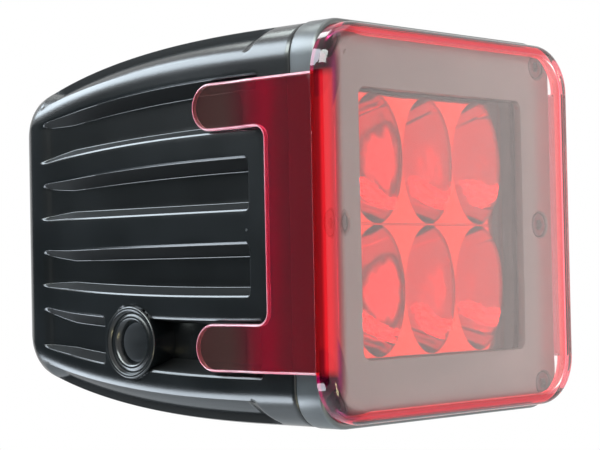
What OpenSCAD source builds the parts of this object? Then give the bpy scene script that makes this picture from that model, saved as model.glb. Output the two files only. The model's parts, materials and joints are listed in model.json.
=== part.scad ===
// Square LED work lamp with a clip-on red filter cover.
// Origin: on the axis of the two threaded side bosses, midway between them.
// X to the right seen from the front, the lamp faces -Y, Z up. Millimetres.

/* [Bezel] */
// Width of the square front bezel
bezel_w = 82; // [80:0.2:100]
// Height of the square front bezel
bezel_h = 86; // [84:0.2:104]
// Thickness of the bezel from its front face to the seam
bezel_t = 7.5; // [6.5:0.1:9]
// Corner radius of the bezel
bezel_r = 8; // [6:0.5:12]
// Thickness of the lip in front of the lens
lip_t = 1.6; // [1.2:0.1:2]
// Width of the window in the bezel
window_w = 58; // [50:0.5:60]
// Height of the window in the bezel
window_h = 57.4; // [50:0.2:60]

/* [Housing] */
// Length of the housing from the seam to its rear face
housing_l = 92.5; // [76:0.5:112]
// How far the housing stands back from the bezel edge on each side
seam_step = 0.2; // [0:0.1:1]
// Where the barrel curve begins, behind the bezel's front face
barrel_start = 19; // [18:1:35]
// How far behind the rear face the barrel curve would close in height
barrel_over_h = 30; // [20:1:60]
// How far behind the rear face the barrel curve would close in width
barrel_over_w = 129; // [80:1:200]
// Radius of the rear edge
rear_edge_r = 7; // [2:0.5:9]

/* [Fin pockets] */
// Depth of the pockets at their front end
pocket_depth = 5.2; // [3:0.1:5.5]
// Depth of the pockets at their rear end
pocket_tail = 0.4; // [0.3:0.1:2]
// Distance from the rear face to the pocket ends
pocket_margin = 8.5; // [6:0.5:14]
// Front end of the inner pockets, behind the bezel's front face
inner_pocket_y = 20; // [18:0.5:24]
// Front end of the outer pockets, behind the bezel's front face
outer_pocket_y = 16.5; // [15:0.5:17.5]
// Half height of the middle rib
mid_rib = 3.2; // [2.5:0.1:5]
// Depth of the shoulder pockets
shoulder_depth = 1.6; // [1:0.1:3]

/* [Side bosses] */
// Distance of the bolt axis behind the bezel's front face
bolt_back = 58; // [50:0.5:64]
// Distance of the bolt axis below the middle of the lamp
bolt_drop = 25.2; // [20:0.2:28]
// Radius of the tapping hole for the side bolt
bolt_hole_r = 3.4; // [2.5:0.05:4.3]
// Depth of the tapped side hole
bolt_hole_depth = 10; // [6:0.5:11]
// Outer radius of the side boss
boss_r = 8.2; // [7:0.1:9]

/* [Lens and reflector] */
// Thickness of the glass lens
lens_t = 2.8; // [2:0.1:3.2]
// Width of the lens edge that the bezel lip covers
lens_overlap = 2.4; // [1.5:0.1:3]
// Spacing of the reflector columns
cup_dx = 18.3; // [15:0.1:19]
// Spacing of the reflector rows
cup_dz = 28.6; // [24:0.1:30]
// Depth of the reflector from its front face to the board
reflector_l = 21; // [16:0.5:24]
// Wall of the reflector cups
cup_wall = 0.9; // [0.8:0.1:1.2]

/* [Electronics] */
// Thickness of the LED board
led_board_t = 1.6; // [1:0.1:2]
// Thickness of the heat spreader plate
spreader_t = 4; // [3:0.1:6]
// Width of the driver board
driver_w = 44; // [38:0.5:46]
// Height of the driver board
driver_h = 36; // [32:0.5:38]
// Length of the driver board standoffs
standoff_l = 16; // [10:0.5:22]

/* [Rear fittings] */
// Radius of the cable gland's thread
gland_r = 6; // [5:0.1:7.4]
// Radius of the cable bore
cable_r = 2.9; // [2:0.1:3.4]
// Distance of the gland below and the vent above the middle
fitting_dz = 13; // [11:0.5:14]
// Radius of the vent plug's stem
vent_r = 2.5; // [2:0.1:3.5]

/* [Filter cover] */
// How far the cover's front face stands before the bezel
cover_depth = 6; // [5.6:0.1:8]
// Thickness of the cover's front plate
cover_t = 2.6; // [2:0.1:3.2]
// Wall of the cover's rim and clip arms
cover_wall = 2; // [1.6:0.1:3]
// Corner radius of the cover
cover_r = 11; // [8:0.5:12]
// Radius of the cover's front edge
cover_edge_r = 3.5; // [3:0.1:4.5]
// Half height of the clip arms
arm_half = 31.2; // [26:0.2:31.6]
// Length of the arm plate behind the bezel's front face
arm_l = 13.4; // [10:0.2:14]
// Reach of the tabs behind the bezel's front face
tab_reach = 35.5; // [30:0.5:38]
// Height of each tab
tab_h = 10.4; // [8:0.1:10.6]
// How far the tab noses reach in past the widest part of the housing
nose_dip = 0.35; // [0.1:0.05:0.4]

/* [Hidden] */

eps = 0.01;
// Thickness of the slices in a hull, and how far cuts run past a face
slice_t = 0.1;
cut = 1;
// Clearances: pieces that slide, pieces laid together, and screws in their threads
slide_gap = 0.2;
lay_gap = 0.05;
thread_gap = 0.02;

// Housing outline
body_w0 = bezel_w / 2 - seam_step;
body_h0 = bezel_h / 2 - seam_step;
seam_y = bezel_t;
rear_y = seam_y + housing_l;
barrel_power = 2.3;
close_h = rear_y - barrel_start + barrel_over_h;
close_w = rear_y - barrel_start + barrel_over_w;
barrel_steps = 9;
edge_steps = 3;
edge_start = rear_y - rear_edge_r;

// Shares of the body's half height at which the ribs and pockets meet
inner_top = 0.356;
outer_low = 0.473;
outer_top = 0.765;
shoulder_edge = 0.869;
pocket_end = rear_y - pocket_margin;
pocket_round = 2;
pocket_steps = 8;
pocket_cut = 5;
shoulder_front = 15.5;
shoulder_lean = 4;
shoulder_cut = 3;
boss_gap = 1.2;
boss_rise = 0.5;
boss_dish_r = boss_r - 1.2;
boss_dish_depth = 1.2;
boss_land_r = bolt_hole_r + 1.1;
boss_land_drop = 0.4;

// Lens stack, from the front
lens_y = lip_t + lay_gap;
lens_w = window_w + 2 * lens_overlap;
lens_h = window_h + 2 * lens_overlap;
lens_r = 3;
window_r = 2;
bezel_chamfer = 1.2;
gasket_y = lens_y + lens_t;
gasket_lip = 1.7;
seal_offset = 1.75;
seal_half_w = lens_w / 2 + seal_offset;
seal_half_h = lens_h / 2 + seal_offset;
seal_r = 0.6;

// Screws: shank radius, head radius, head height
m3 = [1.5, 2.7, 1.9];
m25 = [1.25, 2.2, 1.5];
socket_share = 0.5;
socket_depth_share = 0.6;
screw_hole_gap = 0.2;
bezel_screw_l = 12;
bezel_screw_inset = [5.2, 5.6];
bezel_screw_x = bezel_w / 2 - bezel_screw_inset[0];
bezel_screw_z = bezel_h / 2 - bezel_screw_inset[1];
bezel_sink_r = m3[1] + 0.3;
bezel_sink_t = m3[2] + 0.3;

// Inner cavities of the housing
reflector_gap = 1.4;
reflector_y = gasket_y + reflector_gap;
board_y = reflector_y + reflector_l + lay_gap;
cavity_half_w = window_w / 2 + 0.5;
cavity_half_h = window_h / 2 + 0.8;
cavity_r = 4;
pad_t = 0.5;
pad_y = board_y + led_board_t;
spreader_y = pad_y + pad_t;
ledge_y = spreader_y + spreader_t;
rear_half_w = 25;
rear_half_h = 22;
rear_wall = 8;
rear_cavity_end = rear_y - rear_wall;

// Reflector cups and LEDs
cup_a = cup_dx / 2 - 0.15;
cup_b = cup_dz / 2 - 0.25;
cup_neck = 3.1;
cup_power = 0.55;
cup_steps = 5;
cup_cut = 0.2;
reflector_r = 2;
reflector_half_w = 1.5 * cup_dx + 0.6;
reflector_half_h = cup_dz;
reflector_rim = 1.4;
leg_r = 1.3;
leg_seats = [-cup_dx, 0, cup_dx];
package_s = 3.5;
package_t = 0.7;
dome_r = 1.3;
led_board_r = 2;
led_board_half_w = cavity_half_w - 2.6;
led_board_half_h = cavity_half_h - 7.6;
led_screw_depth = spreader_t - 1;
led_screw_x = [-1.32 * cup_dx, -0.5 * cup_dx, 0.5 * cup_dx, 1.32 * cup_dx];
spreader_screw_x = 14;
spreader_screw_z = (rear_half_h + cavity_half_h) / 2;
spreader_screw_l = 9;

// Driver and wires
driver_t = 1.6;
driver_y = rear_cavity_end - standoff_l - driver_t;
standoff_r = 2.6;
standoff_x = driver_w / 2 - 3.5;
standoff_z = driver_h / 2 - 3.5;
standoff_stud = 4.5;
driver_r = 1.5;
driver_screw_l = 6;
inductor_r = 6.5;
inductor_t = 8;
inductor_flange = 1.5;
inductor_waist = 1.4;
inductor_place = [-8, 6];
cap_r = 4;
cap_t = 12;
cap_places = [[5.5, 5], [14.5, 5]];
// Chips: left, bottom, width, thickness and height
chips = [[-15, -8, 7, 1.6, 6], [-3, -7, 5, 1.4, 5], [9, -9, 7, 2.2, 8]];
wire_r = 0.8;
wire_sides = 16;
wire_x = cup_dx / 2;
wire_hole_gap = 0.5;
wire_lead = 5;
wire_fall = 8;
wire_notch_l = 6.5;
wire_clear = 2;
wire_arch = 1.8;
wire_top_z = 4 - driver_h / 2;
wire_z = -(led_board_half_h + 1.9);
wire_pad_z = 1.6 - led_board_half_h;

// Rear fittings
gland_hex_r = gland_r + 2.7;
gland_flange_t = 4;
gland_neck_r = gland_r - 1;
gland_neck_t = 6;
gland_thread_l = rear_wall + 0.5;
gland_cap_r = gland_r + 2;
gland_cap_t = 9;
gland_cap_step = 1.2;
gland_cap_nose = 2.5;
gland_seat_r = gland_neck_r - 1.2;
gland_seal_proud = 0.6;
gland_bore_r = cable_r + 0.3;
vent_head_r = vent_r + 2.6;
vent_head_t = 3;
vent_ring_r = 0.75;
vent_bore_r = 1;
vent_slot_r = 0.6;
vent_slots = 6;

// Cover and clip arms
cover_step = 1;
cover_front = -cover_depth;
cover_seat = -0.3;
arm_inner = bezel_w / 2 + slide_gap;
arm_outer = arm_inner + cover_wall;
cover_half_w = arm_outer;
cover_half_h = bezel_h / 2 - cover_step;
bend_y = cover_front + cover_edge_r;
arm_gap = 0.1;
mould_draft = 0.05;
arm_root = bend_y + slice_t / 2;
tab_low = arm_half - tab_h;
tab_fillet = 2.6;
joggle_start = arm_l + 4.1;
joggle_end = joggle_start + 5;
nose_inner = body_w0 - nose_dip;
joggle = arm_inner - nose_inner;

// Half height and half width of the barrel at a place y behind the bezel's front
function barrel(y, close) =
    y <= barrel_start ? 1
        : pow(1 - pow((y - barrel_start) / close, barrel_power), 1 / barrel_power);
function rear_inset(y) =
    y <= edge_start ? 0 : rear_edge_r - sqrt(max(0, pow(rear_edge_r, 2) - pow(y - edge_start, 2)));
function half_w(y) = body_w0 * barrel(y, close_w) - rear_inset(y);
function half_h(y) = body_h0 * barrel(y, close_h) - rear_inset(y);
barrel_stations = concat(
    [seam_y],
    [for (i = [0:barrel_steps]) barrel_start + i * (edge_start - barrel_start) / barrel_steps],
    [for (i = [1:edge_steps]) edge_start + rear_edge_r * sin(90 * i / edge_steps)]);

// Evenly spaced places from a to b
function steps(a, b, n) = [for (i = [0:n]) a + (b - a) * i / n];
function turned(list) = [for (i = [len(list) - 1:-1:0]) list[i]];

// Everything is drawn from the middle of the bezel's front face, with y to the rear
module lamp_frame() {
    translate([0, -bolt_back, bolt_drop]) children();
}

// A round bar along +Y
module bar_y(r, l, fn = 48) {
    rotate([-90, 0, 0]) cylinder(r = r, h = l, $fn = fn);
}

// A rounded plate standing in the XZ plane, with its front at y = 0
module plate_y(hw, hh, r, t) {
    rotate([90, 0, 0]) translate([0, 0, -t]) linear_extrude(t) rounded_square(hw, hh, r, 48);
}

module rounded_square(hw, hh, r, fn) {
    square([2 * (hw - r), 2 * hh], center = true);
    square([2 * hw, 2 * (hh - r)], center = true);
    for (sx = [-1, 1], sz = [-1, 1]) {
        translate([sx * (hw - r), sz * (hh - r)]) circle(r = r, $fn = fn);
    }
}

// Thin slice of a rounded square, for hulls
module slice_y(y, hw, hh, r) {
    translate([0, y, 0]) rotate([90, 0, 0]) linear_extrude(slice_t) {
        for (sx = [-1, 1], sz = [-1, 1]) {
            translate([sx * (hw - r), sz * (hh - r)]) circle(r = r, $fn = 32);
        }
    }
}

// Outline drawn in (y, z), extruded along X between two places
module side_prism(points, x0, x1) {
    translate([x0, 0, 0]) rotate([90, 0, 90]) linear_extrude(x1 - x0) polygon(points);
}

// Outline drawn in (x, y), extruded along Z between two places
module plan_prism(points, z0, z1) {
    translate([0, 0, z0]) linear_extrude(z1 - z0) polygon(points);
}

// Screw along +Y with its head's underside at y = 0 and a hexagon socket
module screw(size, l) {
    difference() {
        union() {
            bar_y(size[0], l);
            translate([0, -size[2], 0]) bar_y(size[1], size[2]);
        }
        translate([0, -size[2] - eps, 0])
            hex_y(size[1] * socket_share, size[2] * socket_depth_share);
    }
}

// Hexagon bar along +Y
module hex_y(r, l) {
    bar_y(r, l, 6);
}

// ---- Housing ----

// Barrel body, inset all round by a depth
module barrel_body(inset) {
    hull() {
        for (y = barrel_stations) {
            slice_y(y + (y == seam_y ? slice_t : 0), half_w(y) - inset, half_h(y) - inset,
                bezel_r - inset);
        }
    }
}

// Outline of one pocket: its two long edges follow shares of the half size
function pocket_outline(y0, y1, low, high, low_fixed, close, size0) =
    let (
        ys = steps(y0, y1 - pocket_round, pocket_steps),
        top = [for (y = ys) [y, high * size0 * barrel(y, close)]],
        bottom = [for (y = ys) [y, low_fixed > 0 ? low_fixed : low * size0 * barrel(y, close)]],
        end_top = top[pocket_steps][1],
        end_low = bottom[pocket_steps][1],
        mid = (end_top + end_low) / 2,
        r = (end_top - end_low) / 2)
    concat(top,
        [for (a = [60:-30:-60]) [y1 - pocket_round * (1 - cos(a)), mid + r * sin(a)]],
        turned(bottom));

// Floor of the pockets in plan: shallow at the tail and deep at the front
function floor_line(y0, y1, close, size0) =
    [for (y = steps(y0 - eps, y1, pocket_steps))
        [size0 * barrel(y, close) - pocket_tail
            - (pocket_depth - pocket_tail) * pow((y1 - max(y, y0)) / (y1 - y0), 2), y]];

// One pocket on the +X side, above the middle
module side_pocket(y0, y1, low, high, low_fixed) {
    outer = body_w0 + pocket_cut;
    intersection() {
        side_prism(pocket_outline(y0, y1, low, high, low_fixed, close_h, body_h0), 0, outer);
        plan_prism(concat(floor_line(y0, pocket_end, close_w, body_w0),
            [[outer, pocket_end], [outer, y0 - eps]]), -body_h0, body_h0);
    }
}

// One pocket on the top, to the right of the middle
module top_pocket(y0, y1, low, high, low_fixed) {
    outer = body_h0 + pocket_cut;
    intersection() {
        plan_prism([for (p = pocket_outline(y0, y1, low, high, low_fixed, close_w, body_w0))
            [p[1], p[0]]], 0, outer);
        side_prism([for (p = concat(floor_line(y0, pocket_end, close_h, body_h0),
            [[outer, pocket_end], [outer, y0 - eps]])) [p[1], p[0]]], -body_w0, body_w0);
    }
}

// Shoulder pockets: the four rounded long edges are let in between the ribs
module shoulder_pockets() {
    ys = steps(shoulder_front + shoulder_lean, pocket_end, pocket_steps);
    top = body_h0 + shoulder_cut;
    side = body_w0 + shoulder_cut;
    tail = pocket_end + shoulder_cut;
    difference() {
        for (sx = [-1, 1], sz = [-1, 1]) scale_sides(sx, sz) {
            intersection() {
                side_prism(concat([[shoulder_front, top]],
                    [for (y = ys) [y, shoulder_edge * half_h(y)]], [[tail, top]]), 0, side);
                plan_prism(concat([[side, shoulder_front]],
                    [for (y = ys) [shoulder_edge * half_w(y), y]], [[side, tail]]), 0, top);
            }
        }
        barrel_body(shoulder_depth);
    }
}

// Mirrors its children into one of the four quarters
module scale_sides(sx, sz) {
    mirror([sx < 0 ? 1 : 0, 0, 0]) mirror([0, 0, sz < 0 ? 1 : 0]) children();
}

// The lower outer side pocket is split by the boss, and its front part keeps its full depth
module lower_side_pockets() {
    front_end = bolt_back - boss_r;
    mirror([0, 0, 1]) {
        difference() {
            side_pocket(outer_pocket_y, pocket_end, outer_low, outer_top, 0);
            translate([0, outer_pocket_y - cut, 0])
                cube([body_w0 + 2 * pocket_cut, front_end + 2 * boss_r + boss_gap - outer_pocket_y + cut,
                    2 * body_h0]);
        }
        intersection() {
            side_prism(pocket_outline(outer_pocket_y, pocket_end, outer_low, outer_top, 0, close_h,
                body_h0), 0, body_w0 + pocket_cut);
            translate([body_w0 - pocket_depth, outer_pocket_y, 0])
                cube([2 * pocket_cut, front_end - outer_pocket_y, body_h0]);
        }
    }
}

module housing_pockets() {
    for (sx = [-1, 1]) scale_sides(sx, 1) {
        for (sz = [-1, 1]) scale_sides(1, sz) {
            side_pocket(inner_pocket_y, pocket_end, 0, inner_top, mid_rib);
        }
        side_pocket(outer_pocket_y, pocket_end, outer_low, outer_top, 0);
        lower_side_pockets();
    }
    for (sx = [-1, 1], sz = [-1, 1]) scale_sides(sx, sz) {
        top_pocket(inner_pocket_y, pocket_end, 0, inner_top, mid_rib);
        top_pocket(inner_pocket_y, pocket_end, outer_low, outer_top, 0);
    }
}

// Raised round boss on each side and its dished, tapped seat
module boss_solid() {
    root = rear_half_w + 2;
    translate([root, bolt_back, -bolt_drop]) rotate([0, 90, 0])
        cylinder(r = boss_r, h = body_w0 + boss_rise - root, $fn = 64);
}

module boss_cut() {
    below = boss_dish_depth + cut;
    translate([body_w0 + boss_rise, bolt_back, -bolt_drop]) rotate([0, 90, 0]) {
        difference() {
            translate([0, 0, -boss_dish_depth]) cylinder(r = boss_dish_r, h = below, $fn = 64);
            translate([0, 0, -below]) cylinder(r = boss_land_r, h = below - boss_land_drop, $fn = 64);
        }
        translate([0, 0, -bolt_hole_depth])
            cylinder(r = bolt_hole_r, h = bolt_hole_depth + cut, $fn = 64);
    }
}

module seal_ring() {
    for (sx = [-1, 1]) {
        translate([sx * seal_half_w, cavity_r - seal_half_h, 0]) rotate([-90, 0, 0])
            cylinder(r = seal_r, h = 2 * (seal_half_h - cavity_r), $fn = 24);
    }
    for (sy = [-1, 1]) {
        translate([cavity_r - seal_half_w, sy * seal_half_h, 0]) rotate([0, 90, 0])
            cylinder(r = seal_r, h = 2 * (seal_half_w - cavity_r), $fn = 24);
    }
    for (i = [0:3]) {
        sx = i == 0 || i == 3 ? 1 : -1;
        sy = i < 2 ? 1 : -1;
        translate([sx * (seal_half_w - cavity_r), sy * (seal_half_h - cavity_r), 0])
            rotate([0, 0, 90 * i]) rotate_extrude(angle = 90, $fn = 48)
                translate([cavity_r, 0]) circle(r = seal_r, $fn = 24);
    }
}

module housing() {
    color([0.1, 0.11, 0.12]) lamp_frame() difference() {
        union() {
            difference() {
                barrel_body(0);
                housing_pockets();
                shoulder_pockets();
            }
            for (sx = [-1, 1]) scale_sides(sx, 1) boss_solid();
        }
        for (sx = [-1, 1]) scale_sides(sx, 1) boss_cut();
        translate([0, seam_y - cut, 0])
            plate_y(cavity_half_w, cavity_half_h, cavity_r, ledge_y - seam_y + cut);
        translate([0, ledge_y - cut, 0])
            plate_y(rear_half_w, rear_half_h, cavity_r, rear_cavity_end - ledge_y + cut);
        bezel_screw_places() translate([0, seam_y - cut, 0])
            bar_y(m3[0] + thread_gap, bezel_screw_l - (bezel_t - bezel_sink_t) + 2 * cut);
        spreader_screw_places() translate([0, ledge_y - cut, 0])
            bar_y(m3[0] + thread_gap, spreader_screw_l - spreader_t + 2 * cut);
        translate([0, rear_cavity_end - cut, 0]) {
            standoff_places() bar_y(m3[0] + thread_gap, standoff_stud + 1.5 * cut);
            translate([0, 0, -fitting_dz]) bar_y(gland_r + thread_gap, rear_wall + 2 * cut);
            translate([0, 0, fitting_dz]) bar_y(vent_r + thread_gap, rear_wall + 2 * cut);
        }
        wire_notch();
        seal_groove();
    }
}

// Notch in the ledge where the wires come through the heat spreader
module wire_notch() {
    room = wire_r + wire_hole_gap;
    translate([-wire_x - room, ledge_y - cut, wire_z - room])
        cube([2 * (wire_x + room), wire_notch_l + cut, room - wire_z - rear_half_h + cut]);
}

// Groove for the seal between bezel and housing
module seal_groove() {
    depth = seal_r + lay_gap;
    translate([0, seam_y, 0]) difference() {
        translate([0, -depth, 0])
            plate_y(seal_half_w + depth, seal_half_h + depth, cavity_r + depth, 2 * depth);
        translate([0, -depth - eps, 0])
            plate_y(seal_half_w - depth, seal_half_h - depth, cavity_r - depth, 2 * depth + 2 * eps);
    }
}

// ---- Bezel, lens and seals ----

module bezel_screw_places() {
    for (sx = [-1, 1], sz = [-1, 0, 1]) {
        translate([sx * bezel_screw_x, 0, sz * bezel_screw_z]) children();
    }
}

module bezel() {
    c = bezel_chamfer;
    color([0.27, 0.31, 0.33]) lamp_frame() difference() {
        hull() {
            slice_y(slice_t, bezel_w / 2 - c, bezel_h / 2 - c, bezel_r - c);
            slice_y(c, bezel_w / 2, bezel_h / 2, bezel_r);
            slice_y(bezel_t, bezel_w / 2, bezel_h / 2, bezel_r);
        }
        translate([0, -cut, 0]) plate_y(window_w / 2, window_h / 2, window_r, bezel_t + 2 * cut);
        translate([0, lip_t, 0])
            plate_y(lens_w / 2 + lay_gap, lens_h / 2 + lay_gap, lens_r, bezel_t);
        bezel_screw_places() {
            translate([0, -cut, 0]) bar_y(bezel_sink_r, bezel_sink_t + cut);
            bar_y(m3[0] + screw_hole_gap, bezel_t + cut);
        }
        seal_groove();
    }
}

module bezel_screws() {
    color([0.12, 0.12, 0.13]) lamp_frame() bezel_screw_places() {
        translate([0, bezel_sink_t, 0]) screw(m3, bezel_screw_l);
    }
}

module bezel_seal() {
    color([0.05, 0.05, 0.05]) lamp_frame() translate([0, seam_y, 0]) rotate([90, 0, 0]) seal_ring();
}

module lens() {
    color([0.85, 0.9, 0.92, 0.4]) lamp_frame() translate([0, lens_y, 0])
        plate_y(lens_w / 2, lens_h / 2, lens_r, lens_t);
}

module lens_gasket() {
    depth = seam_y - gasket_y - lay_gap;
    color([0.08, 0.08, 0.08]) lamp_frame() translate([0, gasket_y, 0]) difference() {
        plate_y(lens_w / 2, lens_h / 2, lens_r, depth);
        translate([0, -cut, 0])
            plate_y(lens_w / 2 - gasket_lip, lens_h / 2 - gasket_lip, window_r, depth + 2 * cut);
    }
}

// ---- Reflector and LEDs ----

module cup_places() {
    for (cx = [-1, 0, 1], cz = [-0.5, 0.5]) {
        translate([cx * cup_dx, 0, cz * cup_dz]) children();
    }
}

// Share of the mouth's half size at a share s of the depth, from mouth to neck
function cup_share(s) = pow(1 - s, cup_power);

// Bowl with an oval mouth and a round neck, grown outwards by a wall
module cup_bowl(grow, y0, y1) {
    a = cup_a - cup_neck;
    b = cup_b - cup_neck;
    rounds = [for (i = [0:cup_steps]) i / cup_steps];
    for (i = [0:cup_steps - 1]) {
        hull() {
            for (s = [rounds[i], rounds[i + 1]]) {
                translate([0, y0 + s * (y1 - y0), 0]) rotate([90, 0, 0])
                    scale([cup_neck + a * cup_share(s) + grow, cup_neck + b * cup_share(s) + grow, 1])
                        cylinder(r = 1, h = eps, $fn = 28);
            }
        }
    }
}

module reflector() {
    back = reflector_y + reflector_l;
    color([0.85, 0.85, 0.86]) lamp_frame() difference() {
        union() {
            translate([0, reflector_y, 0])
                plate_y(reflector_half_w, reflector_half_h, reflector_r, reflector_rim);
            intersection() {
                cup_places() cup_bowl(cup_wall, reflector_y + eps, back);
                translate([0, reflector_y, 0])
                    plate_y(reflector_half_w, reflector_half_h, reflector_r, reflector_l);
            }
            for (x = leg_seats) translate([x, reflector_y + eps, 0]) bar_y(leg_r, reflector_l - eps);
        }
        cup_places() cup_bowl(0, reflector_y - cup_cut, back + cup_cut);
    }
}

module led_board() {
    color([0.9, 0.9, 0.88]) lamp_frame() translate([0, board_y, 0]) difference() {
        plate_y(led_board_half_w, led_board_half_h, led_board_r, led_board_t);
        led_screw_holes(led_board_t);
    }
}

module led_screw_holes(t) {
    for (x = led_screw_x) translate([x, -cut, 0]) bar_y(m25[0] + screw_hole_gap, t + 2 * cut);
}

module led_packages() {
    color([0.95, 0.93, 0.85]) lamp_frame() translate([0, board_y - package_t, 0]) cup_places() {
        translate([-package_s / 2, 0, -package_s / 2]) cube([package_s, package_t, package_s]);
    }
}

module led_domes() {
    color([0.95, 0.85, 0.4]) lamp_frame() translate([0, board_y - package_t, 0]) cup_places() {
        difference() {
            sphere(r = dome_r, $fn = 32);
            translate([-package_s / 2, 0, -package_s / 2]) cube(package_s);
        }
    }
}

module led_board_screws() {
    color([0.7, 0.7, 0.7]) lamp_frame() translate([0, board_y, 0]) {
        for (x = led_screw_x) translate([x, 0, 0]) screw(m25, led_board_t + pad_t + led_screw_depth);
    }
}

module thermal_pad() {
    color([0.55, 0.6, 0.65]) lamp_frame() translate([0, pad_y, 0]) difference() {
        plate_y(led_board_half_w, led_board_half_h, led_board_r, pad_t);
        led_screw_holes(pad_t);
    }
}

module heat_spreader() {
    color([0.75, 0.76, 0.78]) lamp_frame() translate([0, spreader_y, 0]) difference() {
        plate_y(cavity_half_w - slide_gap, cavity_half_h - slide_gap, cavity_r, spreader_t);
        for (x = led_screw_x) translate([x, -cut, 0]) bar_y(m25[0] + thread_gap, led_screw_depth + cut);
        spreader_screw_places() translate([0, -cut, 0])
            bar_y(m3[0] + screw_hole_gap, spreader_t + 2 * cut);
        for (sx = [-1, 1]) translate([sx * wire_x, -cut, wire_z])
            bar_y(wire_r + wire_hole_gap, spreader_t + 2 * cut);
    }
}

module spreader_screw_places() {
    for (sx = [-1, 1], sz = [-1, 1]) {
        translate([sx * spreader_screw_x, 0, sz * spreader_screw_z]) children();
    }
}

module spreader_screws() {
    color([0.7, 0.7, 0.7]) lamp_frame() translate([0, spreader_y, 0])
        spreader_screw_places() screw(m3, spreader_screw_l);
}

// ---- Driver ----

module standoff_places() {
    for (sx = [-1, 1], sz = [-1, 1]) {
        translate([sx * standoff_x, 0, sz * standoff_z]) children();
    }
}

module driver_board() {
    color([0.05, 0.35, 0.15]) lamp_frame() translate([0, driver_y, 0]) difference() {
        plate_y(driver_w / 2, driver_h / 2, driver_r, driver_t);
        standoff_places() translate([0, -cut, 0]) bar_y(m3[0] + screw_hole_gap, driver_t + 2 * cut);
    }
}

module driver_standoffs() {
    front = rear_cavity_end - standoff_l;
    color([0.8, 0.65, 0.3]) lamp_frame() standoff_places() difference() {
        union() {
            translate([0, front, 0]) hex_y(standoff_r, standoff_l);
            translate([0, rear_cavity_end - eps, 0]) bar_y(m3[0], standoff_stud);
        }
        translate([0, front - cut, 0]) bar_y(m3[0] + thread_gap, driver_screw_l);
    }
}

module driver_screws() {
    color([0.7, 0.7, 0.7]) lamp_frame() translate([0, driver_y, 0])
        standoff_places() screw(m3, driver_screw_l);
}

module driver_inductor() {
    color([0.2, 0.2, 0.22]) lamp_frame()
        translate([inductor_place[0], driver_y - inductor_t, inductor_place[1]]) {
            bar_y(inductor_r, inductor_flange);
            bar_y(inductor_r - inductor_waist, inductor_t);
            translate([0, inductor_t - inductor_flange, 0]) bar_y(inductor_r, inductor_flange);
        }
}

module driver_capacitors() {
    color([0.1, 0.12, 0.3]) lamp_frame() {
        for (p = cap_places) translate([p[0], driver_y - cap_t, p[1]]) bar_y(cap_r, cap_t);
    }
}

module driver_chips() {
    color([0.08, 0.08, 0.09]) lamp_frame() {
        for (c = chips) translate([c[0], driver_y - c[3], c[1]]) cube([c[2], c[3], c[4]]);
    }
}

function unit(v) = v / norm(v);
function across(v) = [-v[1], v[0]];

// Sideways direction of a wire at place i, lengthened so that its bends keep their thickness
function mitre(points, i) =
    let (
        last = len(points) - 1,
        before = across(unit(points[max(i, 1)] - points[max(i, 1) - 1])),
        after = across(unit(points[min(i, last - 1) + 1] - points[min(i, last - 1)])),
        m = unit(before + after))
    m / (m * after);

// Round wire in the plane x, through a list of [y, z] places
module wire(x, points, r) {
    n = wire_sides;
    last = len(points) - 1;
    rings = [for (i = [0:last], k = [0:n - 1])
        let (m = mitre(points, i) * r * sin(360 * k / n))
        [x + r * cos(360 * k / n), points[i][0] + m[0], points[i][1] + m[1]]];
    walls = [for (i = [0:last - 1], k = [0:n - 1])
        [i * n + k, i * n + (k + 1) % n, (i + 1) * n + (k + 1) % n, (i + 1) * n + k]];
    ends = [[for (k = [n - 1:-1:0]) k], [for (k = [0:n - 1]) last * n + k]];
    polyhedron(rings, concat(walls, ends));
}

module link_wires() {
    color([0.7, 0.1, 0.1]) lamp_frame() for (sx = [-1, 1]) {
        wire(sx * wire_x, [
            [driver_y, wire_top_z],
            [driver_y - wire_lead, wire_top_z],
            [ledge_y + wire_fall, wire_clear - rear_half_h],
            [ledge_y, wire_z],
            [board_y - wire_arch, wire_z],
            [board_y - wire_arch, wire_pad_z],
            [board_y, wire_pad_z]], wire_r);
    }
}

// ---- Rear fittings ----

module gland_body() {
    neck_end = gland_flange_t + gland_neck_t;
    color([0.06, 0.06, 0.07]) lamp_frame() translate([0, rear_y, -fitting_dz]) difference() {
        union() {
            translate([0, -gland_thread_l, 0]) bar_y(gland_r, gland_thread_l + eps);
            hex_y(gland_hex_r, gland_flange_t);
            translate([0, gland_flange_t - eps, 0]) bar_y(gland_neck_r, gland_neck_t);
        }
        translate([0, -gland_thread_l - cut, 0])
            bar_y(gland_bore_r, gland_thread_l + neck_end + 2 * cut);
        translate([0, gland_flange_t, 0]) bar_y(gland_seat_r, gland_neck_t + cut);
    }
}

module gland_seal() {
    color([0.12, 0.12, 0.12]) lamp_frame()
        translate([0, rear_y + gland_flange_t, -fitting_dz]) difference() {
            bar_y(gland_seat_r - lay_gap, gland_neck_t + gland_seal_proud);
            translate([0, -cut, 0]) bar_y(cable_r, gland_neck_t + gland_seal_proud + 2 * cut);
        }
}

module gland_nut() {
    color([0.06, 0.06, 0.07]) lamp_frame()
        translate([0, rear_y + gland_flange_t + lay_gap, -fitting_dz]) difference() {
            union() {
                hex_y(gland_cap_r, gland_cap_t - gland_cap_nose);
                bar_y(gland_cap_r - gland_cap_step, gland_cap_t);
            }
            translate([0, -cut, 0])
                bar_y(gland_neck_r + thread_gap, gland_neck_t + gland_seal_proud + lay_gap + cut);
            bar_y(gland_bore_r, gland_cap_t + cut);
        }
}

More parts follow.
